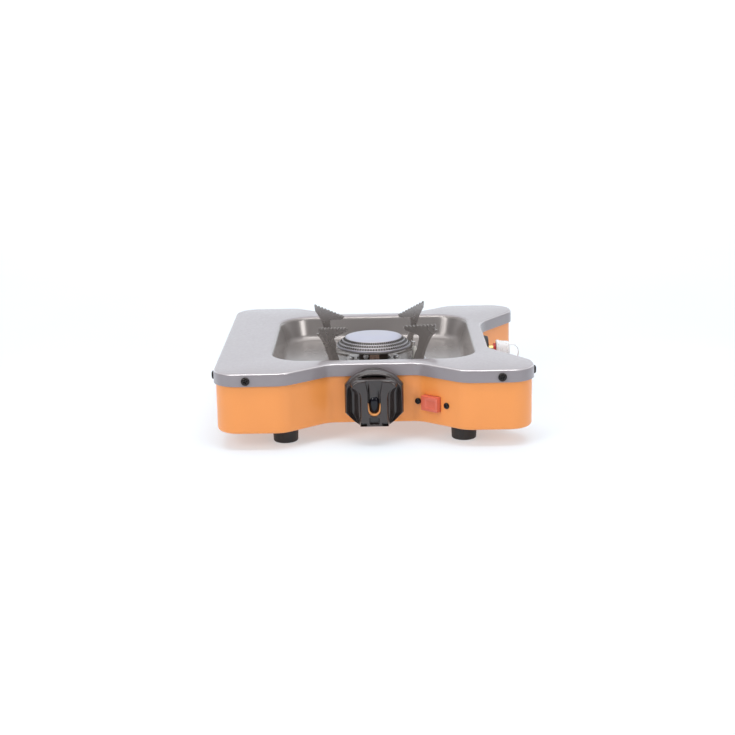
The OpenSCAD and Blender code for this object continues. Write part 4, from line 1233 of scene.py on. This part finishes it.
def make_igniter_screws(place):
    head = screw_head(3.0, 1.9, turn=30)
    share = 0.45
    at, normal = arc_point(inset_corners(CASE_INSET), RECESS_CORNER, share)
    at += 0.3 * normal
    left = facing((at.x, at.y, BUTTON_Z), (normal.x, normal.y, 0))
    right = place @ Matrix.Translation((SCREW_FAR, 0, 0))
    screws = copies("igniter_screw_heads", head, [left, right])
    return finished(screws, "stove", "black_screw", ["igniter_screws"])


# ---------------------------------------------------------------- gas inlet
INLET_FRAME = basis((HALF_W - NOTCH_D - CASE_INSET, 44.0, 49.0), (0, 0, -1), (0, 1, 0), (1, 0, 0))
COLLAR_FACE = 9.5
DUST_FROM = 17.6
DUST_TO = 32.0
LOOP_DROP = 3.4
LOOP_OUT = DUST_FROM + 17.1
LOOP_HALF_H = 8.4
LOOP_HALF_L = 6.7


def make_inlet_bezel():
    """The collar round the inlet: knurled on its rim, its back cut to the bending wall."""
    teeth = 48
    profile = [(6.2, -1.0, 0), (14.4, -1.0, 0), (14.4, 1.6, 0), (14.5, 1.9, 1), (14.5, COLLAR_FACE - 3.2, 1),
               (14.3, COLLAR_FACE - 2.4, 0), (14.0, COLLAR_FACE - 0.9, 0), (13.6, COLLAR_FACE - 0.35, 0),
               (12.9, COLLAR_FACE, 0), (6.6, COLLAR_FACE, 0), (6.2, COLLAR_FACE - 0.4, 0)]
    rings = []
    for r, z, knurled in profile:
        ring = []
        for k in range(teeth * 3):
            a = 2 * math.pi * k / (teeth * 3)
            groove = 0.4 if knurled and k % 3 == 0 else 0.0
            ring.append(((r - groove) * math.cos(a), (r - groove) * math.sin(a), z))
        rings.append(ring)
    rings.append(rings[0])
    collar = raw_object("inlet_collar", Shape().skin(rings).placed(INLET_FRAME))
    cut(collar, Shape().extrude([tuple(p) for p in outline(CASE_INSET)], CASE_BOTTOM, PLATE_Z))
    return finished(collar, "stove", "inlet_plastic", ["inlet_bezel"])


def make_dust_cap():
    """The milky cap over the hose tail, moulded in one with its drooping pull loop."""
    profile = [(5.3, DUST_FROM), (9.4, DUST_FROM), (10.0, DUST_FROM + 0.4), (10.0, DUST_FROM + 2.6),
               (9.6, DUST_FROM + 3.2), (9.15, DUST_FROM + 3.6), (8.6, DUST_TO - 2.6), (8.2, DUST_TO - 1.4),
               (7.2, DUST_TO - 0.4), (5.8, DUST_TO), (0.0, DUST_TO)]
    inner = [(0.0, DUST_TO - 3.0), (5.0, DUST_TO - 3.0), (5.3, DUST_TO - 3.3), (5.3, DUST_FROM)]
    cap = raw_object("dust_cap_moulding", Shape().lathe(profile + inner, 64))
    rings = []
    for k in range(45):
        a = math.radians(-66 + 312 * k / 44)
        out = Vector((math.cos(a) / LOOP_HALF_H, 0, math.sin(a) / LOOP_HALF_L)).normalized()
        middle = Vector((LOOP_DROP + LOOP_HALF_H * math.cos(a), 0, LOOP_OUT + LOOP_HALF_L * math.sin(a)))
        rings.append([tuple(middle + out * 0.68 * math.sin(b) + Vector((0, 1.9 * math.cos(b), 0)))
                      for b in (2 * math.pi * j / 16 for j in range(16))])
    cut(cap, Shape().skin(rings, first=True, last=True), "UNION")
    placed_mesh(cap, INLET_FRAME)
    return finished(cap, "inlet_cap", "cap_plastic", ["dust_cap"])


# ---------------------------------------------------------------- the rest of the CAD frame
def dress_cad_nodes():
    """Every CAD node that stays gets its slot's procedural material and smooth shading."""
    slots = {s["node"]: s["material_slot"] for s in frame["record"]["subparts"]}
    for name, obj in frame["nodes"].items():
        obj.data.materials.clear()
        obj.data.materials.append(MATERIALS[slots[name]])
        obj.data.set_sharp_from_angle(angle=math.radians(32))


# ---------------------------------------------------------------- floor and light
FLOOR_FRONT = -3000
FLOOR_BACK = 2400
FLOOR_HALF_W = 5000
SWEEP_R = 1200
BACKDROP_TOP = 5000


def make_stage():
    """A light table: a pale floor with a glow of its own that curves up into a far backdrop."""
    path = [(FLOOR_FRONT, 0.0), (FLOOR_BACK, 0.0)]
    for c, s in quarter(12, 1):
        path.append((FLOOR_BACK + SWEEP_R * s, SWEEP_R * (1 - c)))
    path.append((FLOOR_BACK + SWEEP_R, BACKDROP_TOP))
    points = [(x, y, z) for y, z in path for x in (-FLOOR_HALF_W, FLOOR_HALF_W)]
    faces = [(2 * k, 2 * k + 1, 2 * k + 3, 2 * k + 2) for k in range(len(path) - 1)]
    floor = raw_object("floor", Shape().add(points, faces))
    for face in floor.data.polygons:
        face.use_smooth = True
    material, tree, shader = node_graph("floor")
    where = object_coords(tree)
    soft = ranged(tree, noise(tree, where, 3), 0, 1)
    tree.links.new(mixed(tree, soft, (0.44, 0.50, 0.55, 1), (0.46, 0.52, 0.57, 1)),
                   shader.inputs["Base Color"])
    set_inputs(shader, {"Roughness": 0.9, "Specular IOR Level": 0.1,
                        "Emission Color": (0.96, 0.98, 1.0, 1)})
    split = tree.nodes.new("ShaderNodeSeparateXYZ")
    tree.links.new(where, split.inputs[0])
    far = ranged(tree, split.outputs["Y"], 0.42, 0.85, 0.3, 2.6)
    tree.links.new(far, shader.inputs["Emission Strength"])
    floor.data.materials.append(material)


def area_light(name, at, towards, size, power):
    data = bpy.data.lights.new(name, "AREA")
    data.shape = "RECTANGLE"
    data.size, data.size_y = size
    data.energy = power
    light = bpy.data.objects.new(name, data)
    light.location = at
    light.rotation_euler = (Vector(towards) - Vector(at)).to_track_quat("-Z", "Y").to_euler()
    bpy.context.scene.collection.objects.link(light)


def make_world():
    """A studio sky: white overhead and behind the stove, darker low down on the viewer's side."""
    world = bpy.data.worlds.new("studio")
    world.use_nodes = True
    tree = world.node_tree
    coords = tree.nodes.new("ShaderNodeTexCoord")
    split = tree.nodes.new("ShaderNodeSeparateXYZ")
    tree.links.new(coords.outputs["Generated"], split.inputs[0])
    height = ranged(tree, split.outputs["Z"], 0, 1, 0.3, 0.85, "SMOOTHSTEP")
    back = ranged(tree, split.outputs["Y"], 0, 1, -0.3, 0.45, "SMOOTHSTEP")
    most = tree.nodes.new("ShaderNodeMath")
    most.operation = "MAXIMUM"
    tree.links.new(height, most.inputs[0])
    tree.links.new(back, most.inputs[1])
    glow = mixed(tree, most.outputs[0], (0.16, 0.16, 0.17, 1), (0.95, 0.95, 0.98, 1))
    background = tree.nodes["Background"]
    tree.links.new(glow, background.inputs["Color"])
    background.inputs["Strength"].default_value = 0.8
    bpy.context.scene.world = world


def make_lights():
    area_light("top", (0.0, 0.25, 1.6), (0, 0, 0), (1.4, 1.4), 9)
    area_light("strip", (0.0, -0.45, 1.3), (0, 0, 0), (1.5, 0.08), 6)
    area_light("front_left", (-1.1, -1.3, 1.0), (0, 0, 0.04), (0.7, 0.7), 11)
    area_light("front_right", (1.2, -1.3, 0.8), (0, 0, 0.04), (0.5, 0.5), 6)
    bpy.context.scene.view_settings.view_transform = "Standard"


# ---------------------------------------------------------------- put it together
make_camera()
make_stage()
make_world()
make_lights()
MATERIALS.update(make_materials())
dress_cad_nodes()
BUTTON_FRAME = button_frame()
make_plate()
make_case(BUTTON_FRAME)
make_plate_screws()
for corner in ("front_left", "front_right", "back_left", "back_right"):
    make_foot("foot_" + corner)
make_bezel()
make_knob()
make_inlay()
make_dome()
make_burner_cap()
make_burner_cup()
make_burner_neck()
make_burner_tab()
make_burner_screw()
make_support_base()
make_support_screws()
for turns, (corner, fold) in enumerate(
        (("back_right", 1), ("back_left", -1), ("front_left", -1), ("front_right", 1))):
    make_support("support_arm_" + corner, turns, fold)
make_button(BUTTON_FRAME)
make_igniter_screws(BUTTON_FRAME)
make_igniter_spring(BUTTON_FRAME)
make_inlet_bezel()
make_dust_cap()
